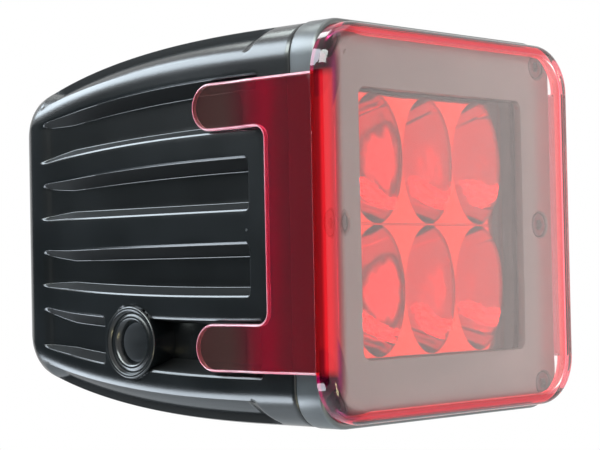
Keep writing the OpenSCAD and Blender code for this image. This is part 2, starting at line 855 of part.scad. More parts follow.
module vent_plug() {
    slot_y = 2 * vent_ring_r + vent_head_t / 2;
    color([0.1, 0.1, 0.11]) lamp_frame() translate([0, rear_y, fitting_dz]) difference() {
        union() {
            translate([0, cut - rear_wall, 0]) bar_y(vent_r, rear_wall + cut);
            translate([0, 2 * vent_ring_r, 0]) bar_y(vent_head_r, vent_head_t);
        }
        translate([0, -rear_wall, 0]) bar_y(vent_bore_r, rear_wall + slot_y);
        for (i = [1:vent_slots]) rotate([0, 360 * i / vent_slots, 0])
            translate([0, slot_y, 0]) rotate([0, 90, 0])
                cylinder(r = vent_slot_r, h = vent_head_r + cut, $fn = 16);
    }
}

module vent_ring() {
    color([0.08, 0.08, 0.08]) lamp_frame() translate([0, rear_y + vent_ring_r, fitting_dz])
        rotate([90, 0, 0]) rotate_extrude($fn = 48) translate([vent_r + vent_ring_r + lay_gap, 0])
            circle(r = vent_ring_r, $fn = 24);
}

// ---- Filter cover ----

// Rounded tray solid: its front edge is a quarter round, and its sides have a little mould draft
module tray_solid(hw, hh, r, edge, y0, y1) {
    hull() {
        for (a = [0:18:90]) {
            inset = edge * (1 - sin(a)) + mould_draft;
            slice_y(y0 + slice_t + edge * (1 - cos(a)), hw - inset, hh - inset, r - inset);
        }
        slice_y(y1, hw, hh, r);
    }
}

module filter_cover() {
    inner_edge = cover_edge_r - cover_wall;
    color([0.8, 0.05, 0.08, 0.5]) lamp_frame() difference() {
        tray_solid(cover_half_w, cover_half_h, cover_r, cover_edge_r, cover_front, cover_seat);
        tray_solid(cover_half_w - cover_wall, cover_half_h - cover_wall, cover_r - cover_wall,
            inner_edge, cover_front + cover_t, cut);
        for (sx = [-1, 1]) scale_sides(sx, 1) {
            translate([arm_inner - arm_gap, arm_root, -arm_half - arm_gap])
                cube([cover_wall + cut, cover_depth, 2 * (arm_half + arm_gap)]);
        }
    }
}

// Side view of a clip arm: a plate with two tabs that end in half rounds
module arm_outline() {
    tip_r = tab_h / 2;
    translate([arm_root, -arm_half]) square([arm_l - arm_root, 2 * arm_half]);
    for (sz = [-1, 1]) scale([1, sz]) {
        translate([arm_l - eps, tab_low]) square([tab_reach - tip_r - arm_l + eps, tab_h]);
        translate([tab_reach - tip_r, tab_low + tip_r]) circle(r = tip_r, $fn = 64);
        difference() {
            translate([arm_l - eps, tab_low - tab_fillet]) square([tab_fillet, tab_fillet + eps]);
            translate([arm_l + tab_fillet, tab_low - tab_fillet]) circle(r = tab_fillet, $fn = 48);
        }
    }
}

// Clip arm on the +X side: straight past the bezel, then stepped in to the noses
module clip_arm() {
    inner = [[arm_inner, arm_root], [arm_inner, joggle_start], [nose_inner, joggle_end],
        [nose_inner, tab_reach + cut]];
    outer = [for (p = turned(inner)) [p[0] + cover_wall, p[1]]];
    intersection() {
        plan_prism(concat(inner, outer), -arm_half - cut, arm_half + cut);
        translate([nose_inner - cut, 0, 0]) rotate([90, 0, 90])
            linear_extrude(cover_wall + joggle + 2 * cut) arm_outline();
    }
}

module left_clip_arm() {
    color([0.8, 0.05, 0.08, 0.5]) lamp_frame() mirror([1, 0, 0]) clip_arm();
}

module right_clip_arm() {
    color([0.8, 0.05, 0.08, 0.5]) lamp_frame() clip_arm();
}

housing();
bezel();
bezel_screws();
bezel_seal();
lens();
lens_gasket();
reflector();
led_board();
led_packages();
led_domes();
led_board_screws();
thermal_pad();
heat_spreader();
spreader_screws();
driver_board();
driver_standoffs();
driver_screws();
driver_inductor();
driver_capacitors();
driver_chips();
link_wires();
gland_body();
gland_seal();
gland_nut();
vent_plug();
vent_ring();
filter_cover();
left_clip_arm();
right_clip_arm();
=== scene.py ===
import json
import math

import bmesh
import bpy
import numpy as np
from mathutils import Matrix, Vector
from mathutils.geometry import delaunay_2d_cdt


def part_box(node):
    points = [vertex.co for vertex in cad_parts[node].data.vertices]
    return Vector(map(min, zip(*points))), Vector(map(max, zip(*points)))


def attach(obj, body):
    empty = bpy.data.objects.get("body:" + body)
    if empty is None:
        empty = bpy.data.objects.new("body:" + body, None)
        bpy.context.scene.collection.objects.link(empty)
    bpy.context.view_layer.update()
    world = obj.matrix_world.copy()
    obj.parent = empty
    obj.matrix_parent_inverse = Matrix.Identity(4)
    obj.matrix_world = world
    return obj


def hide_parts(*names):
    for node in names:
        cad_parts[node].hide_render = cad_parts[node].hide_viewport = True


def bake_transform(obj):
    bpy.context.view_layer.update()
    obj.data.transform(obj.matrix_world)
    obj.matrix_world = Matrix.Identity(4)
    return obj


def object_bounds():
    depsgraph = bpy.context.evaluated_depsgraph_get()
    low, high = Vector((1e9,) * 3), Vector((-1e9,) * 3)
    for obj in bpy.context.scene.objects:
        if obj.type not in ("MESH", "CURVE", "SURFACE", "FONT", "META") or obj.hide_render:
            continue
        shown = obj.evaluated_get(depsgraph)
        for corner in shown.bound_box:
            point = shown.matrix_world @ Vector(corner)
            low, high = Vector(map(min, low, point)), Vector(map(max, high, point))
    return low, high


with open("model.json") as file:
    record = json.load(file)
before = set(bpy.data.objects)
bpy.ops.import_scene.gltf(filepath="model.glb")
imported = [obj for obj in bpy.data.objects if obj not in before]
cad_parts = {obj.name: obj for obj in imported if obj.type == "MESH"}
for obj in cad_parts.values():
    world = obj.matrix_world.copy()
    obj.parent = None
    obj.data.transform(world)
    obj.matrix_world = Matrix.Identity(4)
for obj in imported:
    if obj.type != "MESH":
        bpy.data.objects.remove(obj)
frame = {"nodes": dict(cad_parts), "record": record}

cad_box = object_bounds()

# ---- The lamp's own measures, in millimetres from the middle of the bezel's front face ----

MM = 0.001
BEZEL_LOW, BEZEL_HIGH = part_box("bezel")
HOUSING_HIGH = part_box("housing")[1]
COVER_LOW, COVER_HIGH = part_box("filter_cover")
ARM_LOW, ARM_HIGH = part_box("right_clip_arm")
CUPS_LOW, CUPS_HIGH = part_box("reflector")
GLAND_LOW, GLAND_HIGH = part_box("gland_body")
NUT_LOW, NUT_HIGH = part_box("gland_nut")
VENT_LOW, VENT_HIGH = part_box("vent_plug")
PLATE_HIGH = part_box("heat_spreader")[1]
ORIGIN = np.array([0.0, BEZEL_LOW.y, (BEZEL_LOW.z + BEZEL_HIGH.z) / 2])


def local(corner):
    """A corner of the frame in millimetres from the middle of the bezel's front face."""
    return (np.array(corner) - ORIGIN) / MM


def place(points):
    return ORIGIN + np.asarray(points, float) * MM


BEZEL_W, BEZEL_T, BEZEL_H = local(BEZEL_HIGH)
REAR = local(HOUSING_HIGH)[1]
SIDE = BEZEL_W - 0.2
TOP = BEZEL_H - 0.2
SEAM = BEZEL_T
CORNER = 8.0
BARREL_START = 19.0
BARREL_POWER = 2.3
CLOSE_TOP = REAR - BARREL_START + 30.0
CLOSE_SIDE = REAR - BARREL_START + 129.0
REAR_EDGE = 7.0
REAR_WALL = 8.0
CAVITY = (29.5, 29.5, 4.0)
REAR_CAVITY = (25.0, 22.0, 4.0)
LEDGE = local(PLATE_HIGH)[1]
BOSS_Y = -ORIGIN[1] / MM
BOSS_Z = -ORIGIN[2] / MM
BOSS_R = 8.2
BOSS_X = local(HOUSING_HIGH)[0]

# Half the middle rib, then the shares of the half height where ribs, pockets and shoulders meet
MID_RIB = 3.2
EDGES = (0.356, 0.473, 0.765, 0.869)

# Pockets: their ends, depths and wall widths
POCKET_END = REAR - 8.5
POCKET_DEPTH = 5.8
TAIL_DEPTH = 0.6
UPPER_WALL = 3.4
LOWER_WALL = 2.2
TOP_WALL = 2.6
SHOULDER_DEPTH = 1.6
INNER_START = 20.0
OUTER_START = 16.5
FRONT_WALL = 1.0
REAR_WALL_RUN = 4.0
BOSS_SEAT = 5.8
BOSS_SEAT_DEPTH = 11.2


def barrel(y, close):
    u = np.clip((np.asarray(y, float) - BARREL_START) / close, 0, 1)
    return (1 - u ** BARREL_POWER) ** (1 / BARREL_POWER)


def rear_inset(y):
    d = np.clip(np.asarray(y, float) - (REAR - REAR_EDGE), 0, REAR_EDGE)
    return REAR_EDGE - np.sqrt(REAR_EDGE ** 2 - d ** 2)


def height_of(low, high):
    return (local(low)[2] + local(high)[2]) / 2


def half_side(y):
    return SIDE * barrel(y, CLOSE_SIDE) - rear_inset(y)


def half_top(y):
    return TOP * barrel(y, CLOSE_TOP) - rear_inset(y)


# ---- Meshes ----

def put(name, data):
    thing = bpy.data.objects.new(name, data)
    bpy.context.scene.collection.objects.link(thing)
    return thing


def settle(piece):
    """Makes a piece's modifiers part of its mesh."""
    graph = bpy.context.evaluated_depsgraph_get()
    piece.data = bpy.data.meshes.new_from_object(piece.evaluated_get(graph))
    piece.modifiers.clear()


def add_piece(name, points, faces, finishes, body, stands_for, angle, face_finish):
    """A mesh piece from points in millimetres, which rides on a body."""
    mesh = bpy.data.meshes.new(name)
    mesh.from_pydata([tuple(p) for p in place(points)], [], [tuple(int(i) for i in f) for f in faces])
    mesh.polygons.foreach_set("material_index", np.asarray(face_finish, np.int32))
    mesh.update()
    bm = bmesh.new()
    bm.from_mesh(mesh)
    bmesh.ops.recalc_face_normals(bm, faces=bm.faces)
    bm.to_mesh(mesh)
    bm.free()
    piece = put(name, mesh)
    for finish in finishes if isinstance(finishes, (list, tuple)) else [finishes]:
        mesh.materials.append(finish)
    mesh.polygons.foreach_set("use_smooth", [True] * len(mesh.polygons))
    mesh.set_sharp_from_angle(angle=math.radians(angle))
    if body:
        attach(piece, body)
    if stands_for:
        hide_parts(*stands_for)
    return piece


def rounded_loop(half_w, half_h, radius, y, per_corner=10, per_side=8):
    """Points of a rounded rectangle at the place y, counter-clockwise seen from the front."""
    points = []
    for quarter in range(4):
        sx = 1 if quarter in (0, 3) else -1
        sz = 1 if quarter < 2 else -1
        cx, cz = sx * (half_w - radius), sz * (half_h - radius)
        for i in range(per_corner + 1):
            a = math.pi / 2 * (quarter + i / per_corner)
            points.append((cx + radius * math.cos(a), y, cz + radius * math.sin(a)))
        a = math.pi / 2 * (quarter + 1)
        nx = 1 if (quarter + 1) % 4 in (0, 3) else -1
        nz = 1 if (quarter + 1) % 4 < 2 else -1
        start = points[-1]
        end = (nx * (half_w - radius) + radius * math.cos(a), y,
               nz * (half_h - radius) + radius * math.sin(a))
        for i in range(1, per_side):
            t = i / per_side
            points.append(tuple(start[k] + (end[k] - start[k]) * t for k in range(3)))
    return points


class Shell:
    """Collects rings of points and the faces between them."""

    def __init__(self):
        self.points = []
        self.faces = []
        self.finish = []

    def ring(self, points):
        first = len(self.points)
        self.points += [tuple(p) for p in points]
        return list(range(first, len(self.points)))

    def face(self, corners, finish=0):
        self.faces.append(tuple(corners))
        self.finish.append(finish)

    def bridge(self, a, b, closed=True, finish=0):
        n = len(a)
        for i in range(n if closed else n - 1):
            j = (i + 1) % n
            self.face((a[i], a[j], b[j], b[i]), finish)

    def fill(self, loops):
        """Fills the first loop, leaving the others open as holes."""
        ids = [i for loop in loops for i in loop]
        flat = [Vector(self.points[i][::2]) for i in ids]
        edges, start = [], 0
        for loop in loops:
            n = len(loop)
            edges += [(start + i, start + (i + 1) % n) for i in range(n)]
            start += n
        result = delaunay_2d_cdt(flat, edges, [], 0, 1e-7)
        origin = [sources[0] if sources else None for sources in result[3]]
        outlines, start = [], 0
        for loop in loops:
            outlines.append(np.array([flat[start + i][:] for i in range(len(loop))]))
            start += len(loop)
        for triangle in result[2]:
            if any(origin[k] is None for k in triangle):
                continue
            middle = sum((result[0][k] for k in triangle), Vector((0, 0))) / 3
            if inside(middle, outlines[0]) and not any(inside(middle, o) for o in outlines[1:]):
                self.face([ids[origin[k]] for k in triangle])

    def piece(self, name, finishes, body, slot, stands_for=(), angle=38):
        return add_piece(name, self.points, self.faces, finishes, body, stands_for, angle,
                         self.finish)


def inside(point, outline):
    x, z = point
    a, b = outline, np.roll(outline, -1, axis=0)
    crosses = (a[:, 1] > z) != (b[:, 1] > z)
    with np.errstate(divide="ignore", invalid="ignore"):
        at = a[:, 0] + (z - a[:, 1]) * (b[:, 0] - a[:, 0]) / (b[:, 1] - a[:, 1])
    return bool(np.count_nonzero(crosses & (x < at)) % 2)


def round_ring(radius, y, x=0.0, z=0.0, n=48, sides=0, corner=0.0):
    """A circle, or a regular polygon with softened corners, about an axis along y."""
    points = []
    for i in range(n):
        a = 2 * math.pi * i / n
        r = radius
        if sides:
            step = 2 * math.pi / sides
            off = (a + step / 2) % step - step / 2
            flat = radius * math.cos(math.pi / sides)
            r = min(flat / math.cos(abs(abs(off) - step / 2)), radius - corner)
        points.append((x + r * math.cos(a), y, z + r * math.sin(a)))
    return points


def turned(shell, profile, x=0.0, z=0.0, n=48, corner=0.0, close=True):
    """Adds a turned body to a shell from (radius, y) or (radius, y, sides) stations."""
    rings = []
    for station in profile:
        radius, y = station[:2]
        sides = station[2] if len(station) > 2 else 0
        rings.append(shell.ring(round_ring(radius, y, x, z, n, sides, corner)))
    for a, b in zip(rings, rings[1:]):
        shell.bridge(a, b)
    if close:
        shell.face(rings[0])
        shell.face(rings[-1])
    return rings


def arc(cx, cy, radius, start, end, n):
    return [(cx + radius * math.cos(math.radians(start + (end - start) * i / n)),
             cy + radius * math.sin(math.radians(start + (end - start) * i / n)))
            for i in range(n + 1)]


# ---- Finishes ----

# Refractive indices of the clear pieces, kept low so that reflections stay faint
COVER_INDEX = 1.44
ARM_INDEX = 1.49
LENS_INDEX = 1.16
RIM_RED = (0.78, 0.02, 0.04)
PLATE_CLEAR = (0.97, 0.93, 0.92)
# A dark purple for the painted shade at the cover's left corners
CORNER_SHADE = (0.10, 0.0, 0.05)


class Signal:
    """A shader output. Sums and products of signals add the Math nodes that they need."""

    def __init__(self, sheet, socket):
        self.sheet = sheet
        self.socket = socket

    def math(self, operation, *others):
        values = {0: self}
        values.update({i + 1: other for i, other in enumerate(others)})
        return self.sheet.add("Math", {"operation": operation}, values)

    def __add__(self, other):
        return self.math("ADD", other)

    __radd__ = __add__

    def __mul__(self, other):
        return self.math("MULTIPLY", other)

    __rmul__ = __mul__

    def __sub__(self, other):
        return self.math("SUBTRACT", other)

    def __rsub__(self, other):
        return self.sheet.add("Math", {"operation": "SUBTRACT"}, {0: other, 1: self})

    def step(self, low, high):
        """0 below low and 1 above high, with a soft change between them."""
        return self.sheet.add("MapRange", {"interpolation_type": "SMOOTHSTEP"},
                              {"Value": self, "From Min": low, "From Max": high})


class Finish:
    """A material, with one method that adds any node to it."""

    def __init__(self, name):
        world = name == "studio"
        kinds = bpy.data.worlds if world else bpy.data.materials
        self.material = kinds.new(name)
        self.material.use_nodes = True
        self.tree = self.material.node_tree
        self.tree.nodes.clear()
        self.out = self.tree.nodes.new("ShaderNodeOutput" + ("World" if world else "Material"))

    def add(self, kind, settings=None, values=None, output=0):
        node = self.tree.nodes.new("ShaderNode" + kind)
        for key, value in (settings or {}).items():
            if key == "stops":
                ramp = node.color_ramp
                while len(ramp.elements) < len(value):
                    ramp.elements.new(1.0)
                for element, (position, colour) in zip(ramp.elements, value):
                    element.position = position
                    element.color = (*colour, 1.0)
            else:
                setattr(node, key, value)
        for key, value in (values or {}).items():
            socket = node.inputs[key]
            if isinstance(value, Signal):
                self.tree.links.new(value.socket, socket)
            elif socket.type == "RGBA" and len(value) == 3:
                socket.default_value = (*value, 1.0)
            else:
                socket.default_value = value
        return Signal(self, node.outputs[output])

    def where(self):
        """The place on the lamp, in metres."""
        return self.add("TexCoord", output="Object")

    def axis(self, name):
        return self.add("SeparateXYZ", values={0: self.where()}, output=name)

    def noise(self, scale, detail=3.0):
        return self.add("TexNoise", values={"Vector": self.where(), "Scale": scale,
                                            "Detail": detail, "Roughness": 0.5})

    def mix(self, factor, a, b):
        return self.add("Mix", {"data_type": "RGBA"}, {"Factor": factor, 6: a, 7: b}, 2)

    def bump(self, height, distance, strength=1.0):
        return self.add("Bump", values={"Height": height, "Distance": distance,
                                        "Strength": strength})

    def surface(self, shader, volume=None):
        self.tree.links.new(shader.socket, self.out.inputs["Surface"])
        if volume:
            self.tree.links.new(volume.socket, self.out.inputs["Volume"])
        return self.material


def plain_finish(name, colour, roughness, metallic=0.0, grain=900.0, depth=0.00002, vary=0.25,
                 specular=0.5, coat=0.0):
    """A solid finish with a fine grain, slight mottling and uneven gloss."""
    f = Finish(name)
    mottle = f.noise(60.0, 4.0)
    fine = f.noise(grain, 2.0)
    dark = tuple(c * (1 - vary) for c in colour)
    light = tuple(min(1.0, c * (1 + vary)) for c in colour)
    return f.surface(f.add("BsdfPrincipled", values={
        "Base Color": f.mix(mottle.step(0.3, 0.7), dark, light),
        "Roughness": roughness + (mottle - 0.5) * 0.12,
        "Metallic": metallic,
        "Specular IOR Level": specular,
        "Coat Weight": coat,
        "Normal": f.bump(fine, depth, 0.5)}))


def housing_finish():
    """Black powder coat over the casting, with a few specks of dust."""
    f = Finish("black powder coat")
    mottle = f.noise(45.0, 4.0)
    grain = f.noise(2600.0, 2.0)
    orange_peel = f.noise(420.0, 2.0)
    speck = f.add("TexVoronoi", {"feature": "F1"}, {"Vector": f.where(), "Scale": 160.0}, "Distance")
    sparse = f.noise(37.0, 1.0).step(0.66, 0.72)
    dust = (1 - speck.step(0.03, 0.07)) * sparse
    coat = f.mix(mottle.step(0.3, 0.7), (0.004, 0.0055, 0.006), (0.007, 0.009, 0.010))
    return f.surface(f.add("BsdfPrincipled", values={
        "Base Color": f.mix(dust, coat, (0.35, 0.36, 0.36)),
        "Roughness": 0.24 + (mottle - 0.5) * 0.1 + dust * 0.4,
        "Specular IOR Level": 0.55,
        "Normal": f.bump(grain * 0.5 + orange_peel, 0.00003, 0.35)}))


def bezel_finish():
    """Satin black anodised aluminium with fine machining marks, and painted light: a lighter grey on its
    front face and middle.
    """
    f = Finish("satin bezel")
    mottle = f.noise(50.0, 3.0)
    grain = f.noise(1800.0, 2.0)
    black = f.mix(mottle.step(0.3, 0.7), (0.025, 0.031, 0.033), (0.04, 0.048, 0.052))
    # Painted light: the front face, and everything less than 33 mm from the middle across, is a lighter
    # grey standing in for light on the face; the rest stays black.
    painted_lit_grey = f.mix(mottle.step(0.3, 0.7), (0.11, 0.118, 0.112), (0.14, 0.15, 0.142))
    behind = f.axis("Y").step(BEZEL_LOW.y + 0.0002, BEZEL_LOW.y + 0.0014)
    outside = f.axis("X").math("ABSOLUTE").step(0.033, 0.034)
    return f.surface(f.add("BsdfPrincipled", values={
        "Base Color": f.mix(behind * outside, painted_lit_grey, black),
        "Metallic": 0.1,
        "Roughness": 0.36 + (mottle - 0.5) * 0.1,
        "Specular IOR Level": 0.8,
        "Normal": f.bump(grain, 0.00003, 0.3)}))


def cover_finish():
    """Clear red plastic: nearly clear through the front plate, deep red round the rim, with a painted
    red glow where the arms join and a painted dark purple shade at the left corners.
    """
    f = Finish("clear red cover")
    across = f.axis("X").math("ABSOLUTE") * (1 / COVER_HIGH.x)
    middle = (COVER_LOW.z + COVER_HIGH.z) / 2
    upright = (f.axis("Z") - middle).math("ABSOLUTE") * (1 / (COVER_HIGH.z - middle))
    rim = across.math("MAXIMUM", upright).step(0.91, 0.96)
    root = across.step(0.95, 0.99) * (1 - upright.step(0.7, 0.76))
    behind = f.axis("Y").step(COVER_LOW.y + 0.0026, COVER_LOW.y + 0.0036)
    red = rim.math("MAXIMUM", behind)
    edge_in = COVER_HIGH.x - f.axis("X").math("ABSOLUTE")
    # Painted shade: CORNER_SHADE is painted onto the red rim at its corners and in a wedge along its
    # sides, on the left half only, standing in for a dark reflection.
    corner = upright.step(0.735, 0.755) * across.step(0.78, 0.86)
    wedge = (upright * 0.0113 - 0.0048 - edge_in).step(0.0, 0.0003) * edge_in.step(0.0011, 0.0015)
    left = (0.0 - f.axis("X")).step(0.0, 0.01)
    shade = red * corner.math("MAXIMUM", wedge) * left * 0.9
    # Painted light: a red emission where the arms join the rim, standing in for light glowing in the
    # plastic there.
    painted_glow = root * (1 - behind * 0.85)
    waves = f.noise(90.0, 2.0)
    scuffs = f.noise(500.0, 3.0).step(0.62, 0.8)
    plastic = f.add("BsdfPrincipled", values={
        "Base Color": f.mix(shade, f.mix(red, PLATE_CLEAR, RIM_RED), CORNER_SHADE),
        "Roughness": 0.03 + scuffs * 0.1,
        "IOR": COVER_INDEX,
        "Transmission Weight": 0.99,
        "Emission Color": f.mix(painted_glow, (0.0, 0.0, 0.0), (1.0, 0.02, 0.03)),
        "Emission Strength": 0.6,
        "Normal": f.bump(waves, 0.0002, 0.06)})
    tint = f.add("VolumeAbsorption", values={"Color": (1.0, 0.14, 0.16), "Density": 40.0})
    return f.surface(plastic, tint)


# Painted light and shade along an arm: a bright red band part way along, and browner, darker tones
# towards the tab tips
ARM_PAINTED_TONES = ((0.0, (0.55, 0.07, 0.1)), (0.3, (0.6, 0.08, 0.12)), (0.4, (0.9, 0.05, 0.13)),
             (0.5, (0.8, 0.06, 0.12)), (0.62, (0.4, 0.1, 0.12)), (0.74, (0.36, 0.19, 0.17)),
             (1.0, (0.29, 0.13, 0.12)))


def arm_finish():
    """The same red in the arms, with painted light and shade along them: a bright red band part way
    along, and browner, darker tabs towards the tips.
    """
    f = Finish("clear red arm")
    along = (f.axis("Y") - ARM_LOW.y) * (1 / (ARM_HIGH.y - ARM_LOW.y))
    mottle = f.noise(70.0, 3.0) * 0.1
    painted_tone = f.add("ValToRGB", {"stops": ARM_PAINTED_TONES}, {0: along + mottle - 0.05})
    scuffs = f.noise(500.0, 3.0).step(0.62, 0.8)
    return f.surface(f.add("BsdfPrincipled", values={
        "Base Color": painted_tone, "Roughness": 0.05 + scuffs * 0.1, "IOR": ARM_INDEX,
        "Transmission Weight": 0.92}))


def edge_highlight_finish():
    """Cut edges of the arms, painted pale pink as a painted highlight standing in for light gathered in
    the plastic.
    """
    f = Finish("painted edge highlight")
    waves = f.noise(120.0, 2.0)
    return f.surface(f.add("BsdfPrincipled", values={
        "Base Color": f.mix(waves.step(0.35, 0.65), (0.95, 0.3, 0.4), (1.0, 0.55, 0.62)),
        "Roughness": 0.08, "IOR": ARM_INDEX, "Transmission Weight": 0.55}))


def hidden_finish():
    """The inner joint between the tray and a clip arm, where the plastic runs through."""
    f = Finish("inside the plastic")
    return f.surface(f.add("BsdfTransparent"))


def glass_finish():
    f = Finish("lens glass")
    waves = f.noise(30.0, 1.0)
    return f.surface(f.add("BsdfPrincipled", values={
        "Base Color": (0.96, 0.985, 0.97), "Roughness": 0.01 + waves * 0.01, "IOR": LENS_INDEX,
        "Transmission Weight": 1.0}))


def mirror_finish():
    """Reflector plating, slightly uneven as plated mouldings are, with a painted red standing in for the
    red light through the cover.
    """
    f = Finish("reflector plating")
    ripple = f.noise(140.0, 2.0)
    haze = f.noise(40.0, 3.0)
    flat = f.axis("Y").step(CUPS_LOW.y + 0.0002, CUPS_LOW.y + 0.0012)
    return f.surface(f.add("BsdfPrincipled", values={
        # Painted light: the red stands in for the red light through the cover, and the flat front gets a
        # darker, more orange red than the cups.
        "Base Color": f.mix(flat, (0.66, 0.025, 0.008), (1.0, 0.025, 0.03)),
        "Specular Tint": (1.0, 0.03, 0.03),
        "Metallic": 0.95,
        "Roughness": 0.05 + haze * 0.1,
        "Normal": f.bump(ripple, 0.0004, 0.25)}))


def brushed_finish(name, colour, roughness, along):
    """Bare metal with drawn marks along one axis."""
    f = Finish(name)
    scale = [2500.0, 2500.0, 2500.0]
    scale["XYZ".index(along)] = 60.0
    stretched = f.add("Mapping", values={"Vector": f.where(), "Scale": scale})
    marks = f.add("TexNoise", values={"Vector": stretched, "Scale": 1.0, "Detail": 2.0})
    return f.surface(f.add("BsdfPrincipled", values={
        "Base Color": f.mix(marks.step(0.3, 0.7), tuple(c * 0.8 for c in colour), colour),
        "Metallic": 1.0,
        "Roughness": roughness + (marks - 0.5) * 0.15,
        "Normal": f.bump(marks, 0.00001, 0.4)}))


FINISH = {
    "housing_black": housing_finish(),
    "bezel_black": bezel_finish(),
    "black_steel": plain_finish("blackened steel", (0.05, 0.05, 0.055), 0.32, 0.8, 1500.0, 0.00001),
    "bright_steel": brushed_finish("zinc plated steel", (0.75, 0.75, 0.74), 0.28, "Y"),
    "seal_rubber": plain_finish("seal rubber", (0.02, 0.02, 0.021), 0.7, 0.0, 1400.0, 0.00004),
    "lens_glass": glass_finish(),
    "mirror_plating": mirror_finish(),
    "board_white": plain_finish("white solder mask", (0.8, 0.8, 0.77), 0.4, 0.0, 1100.0, 0.00002, 0.05),
    "led_ceramic": plain_finish("led ceramic", (0.85, 0.84, 0.78), 0.45, 0.0, 1600.0, 0.00001, 0.06),
    "led_phosphor": plain_finish("led phosphor", (0.9, 0.72, 0.12), 0.2, 0.0, 900.0, 0.00001, 0.08,
                                 0.5, 0.6),
    "pad_grey": plain_finish("thermal pad", (0.33, 0.38, 0.42), 0.75, 0.0, 700.0, 0.00005, 0.12),
    "bare_aluminium": brushed_finish("machined aluminium", (0.8, 0.81, 0.82), 0.3, "X"),
    "board_green": plain_finish("green solder mask", (0.015, 0.13, 0.05), 0.35, 0.0, 900.0, 0.00003),
    "standoff_brass": brushed_finish("turned brass", (0.8, 0.58, 0.25), 0.25, "Y"),
    "ferrite_grey": plain_finish("ferrite", (0.06, 0.06, 0.065), 0.55, 0.0, 1200.0, 0.00004),
    "sleeve_navy": plain_finish("capacitor sleeve", (0.02, 0.025, 0.09), 0.3, 0.0, 600.0, 0.00001),
    "chip_black": plain_finish("chip resin", (0.025, 0.025, 0.027), 0.5, 0.0, 2200.0, 0.00003),
    "wire_red": plain_finish("wire insulation", (0.5, 0.02, 0.015), 0.4, 0.0, 900.0, 0.00001),
    "fitting_black": plain_finish("moulded nylon", (0.018, 0.019, 0.02), 0.42, 0.0, 1300.0, 0.00004),
}
# Painted shade: the steep pocket walls get a darker, duller, less shiny black than the coat, standing in
# for the shade inside the pockets.
POCKET_WALL_SHADE = plain_finish("painted pocket wall shade", (0.004, 0.0045, 0.005), 0.6, 0.0, 1500.0, 0.00004,
                          0.25, 0.16)
BARE_THREAD = plain_finish("bare tapped thread", (0.15, 0.16, 0.17), 0.32, 0.3, 900.0, 0.00002)
COVER_RED = cover_finish()
ARM_RED = arm_finish()
ARM_EDGE_HIGHLIGHT = edge_highlight_finish()
INSIDE = hidden_finish()


# ---- Camera, stage and lights ----

def add_camera():
    """Stands off to the lamp's left and a little below its middle, looking slightly up."""
    azimuth, pitch, roll = math.radians(-47.5), 0.0261, -0.0203
    forward = Vector((-math.sin(azimuth) * math.cos(pitch), math.cos(azimuth) * math.cos(pitch),
                      math.sin(pitch)))
    level = Vector((math.cos(azimuth), math.sin(azimuth), 0))
    up = level.cross(forward)
    right = level * math.cos(roll) + up * math.sin(roll)
    above = up * math.cos(roll) - level * math.sin(roll)
    data = bpy.data.cameras.new("camera")
    data.sensor_width = 36.0
    data.lens = 108.55
    data.clip_start = 0.01
    camera = put("camera", data)
    position = place((-317.14, -247.86, -10.07))
    turn = Matrix((right, above, -forward)).transposed().to_4x4()
    camera.matrix_world = Matrix.Translation(position) @ turn
    bpy.context.scene.camera = camera
    bpy.context.scene.view_settings.view_transform = "Standard"


FLOOR_DROP = 0.35
LAMP_MIDDLE = (0, 40, 0)


def background_share(f):
    """1 for the rays that show the background: straight to the eye, mirrored or through glass."""
    rays = [f.add("LightPath", output=name)
            for name in ("Is Camera Ray", "Is Glossy Ray", "Is Transmission Ray")]
    return (rays[0] + rays[1] + rays[2]).math("MINIMUM", 1.0)


def add_stage():
    f = Finish("studio")
    share = background_share(f)
    bpy.context.scene.world = f.surface(f.add("MixShader", values={
        0: share,
        1: f.add("Background", values={"Color": (0.9, 0.95, 1.0), "Strength": 0.55}),
        2: f.add("Background", values={"Color": (1.0, 1.0, 1.0), "Strength": 1.0})}))
    half = 6.0
    z = cad_box[0][2] - FLOOR_DROP
    mesh = bpy.data.meshes.new("floor")
    mesh.from_pydata([(-half, -half, z), (half, -half, z), (half, half, z), (-half, half, z)], [],
                     [(0, 1, 2, 3)])
    floor = put("floor", mesh)
    f = Finish("pale floor")
    away = f.add("VectorMath", {"operation": "LENGTH"}, {0: f.where()}, "Value")
    far = away.step(0.45, 1.1)
    mottle = f.noise(8.0)
    pale = f.add("BsdfDiffuse", values={
        "Color": f.mix(mottle, (0.86, 0.86, 0.86), (0.92, 0.92, 0.92))})
    white = f.add("Emission", values={"Color": (1.0, 1.0, 1.0), "Strength": 1.0})
    mesh.materials.append(f.surface(f.add("MixShader", values={
        0: far * background_share(f), 1: pale, 2: white})))


def add_softbox(name, direction, distance, width, height, radiance, colour=(1, 1, 1),
                only_mirrored=False):
    """A rectangular lamp that faces the middle of the lamp from a direction."""
    data = bpy.data.lights.new(name, "AREA")
    data.shape = "RECTANGLE"
    data.size = width
    data.size_y = height
    data.energy = radiance * math.pi * width * height
    data.color = colour
    lamp = put(name, data)
    aim = Vector(place(LAMP_MIDDLE))
    way = Vector(direction).normalized()
    lamp.location = aim + way * distance
    lamp.rotation_euler = way.to_track_quat("Z", "Y").to_euler()
    lamp.visible_camera = False
    lamp.visible_diffuse = not only_mirrored


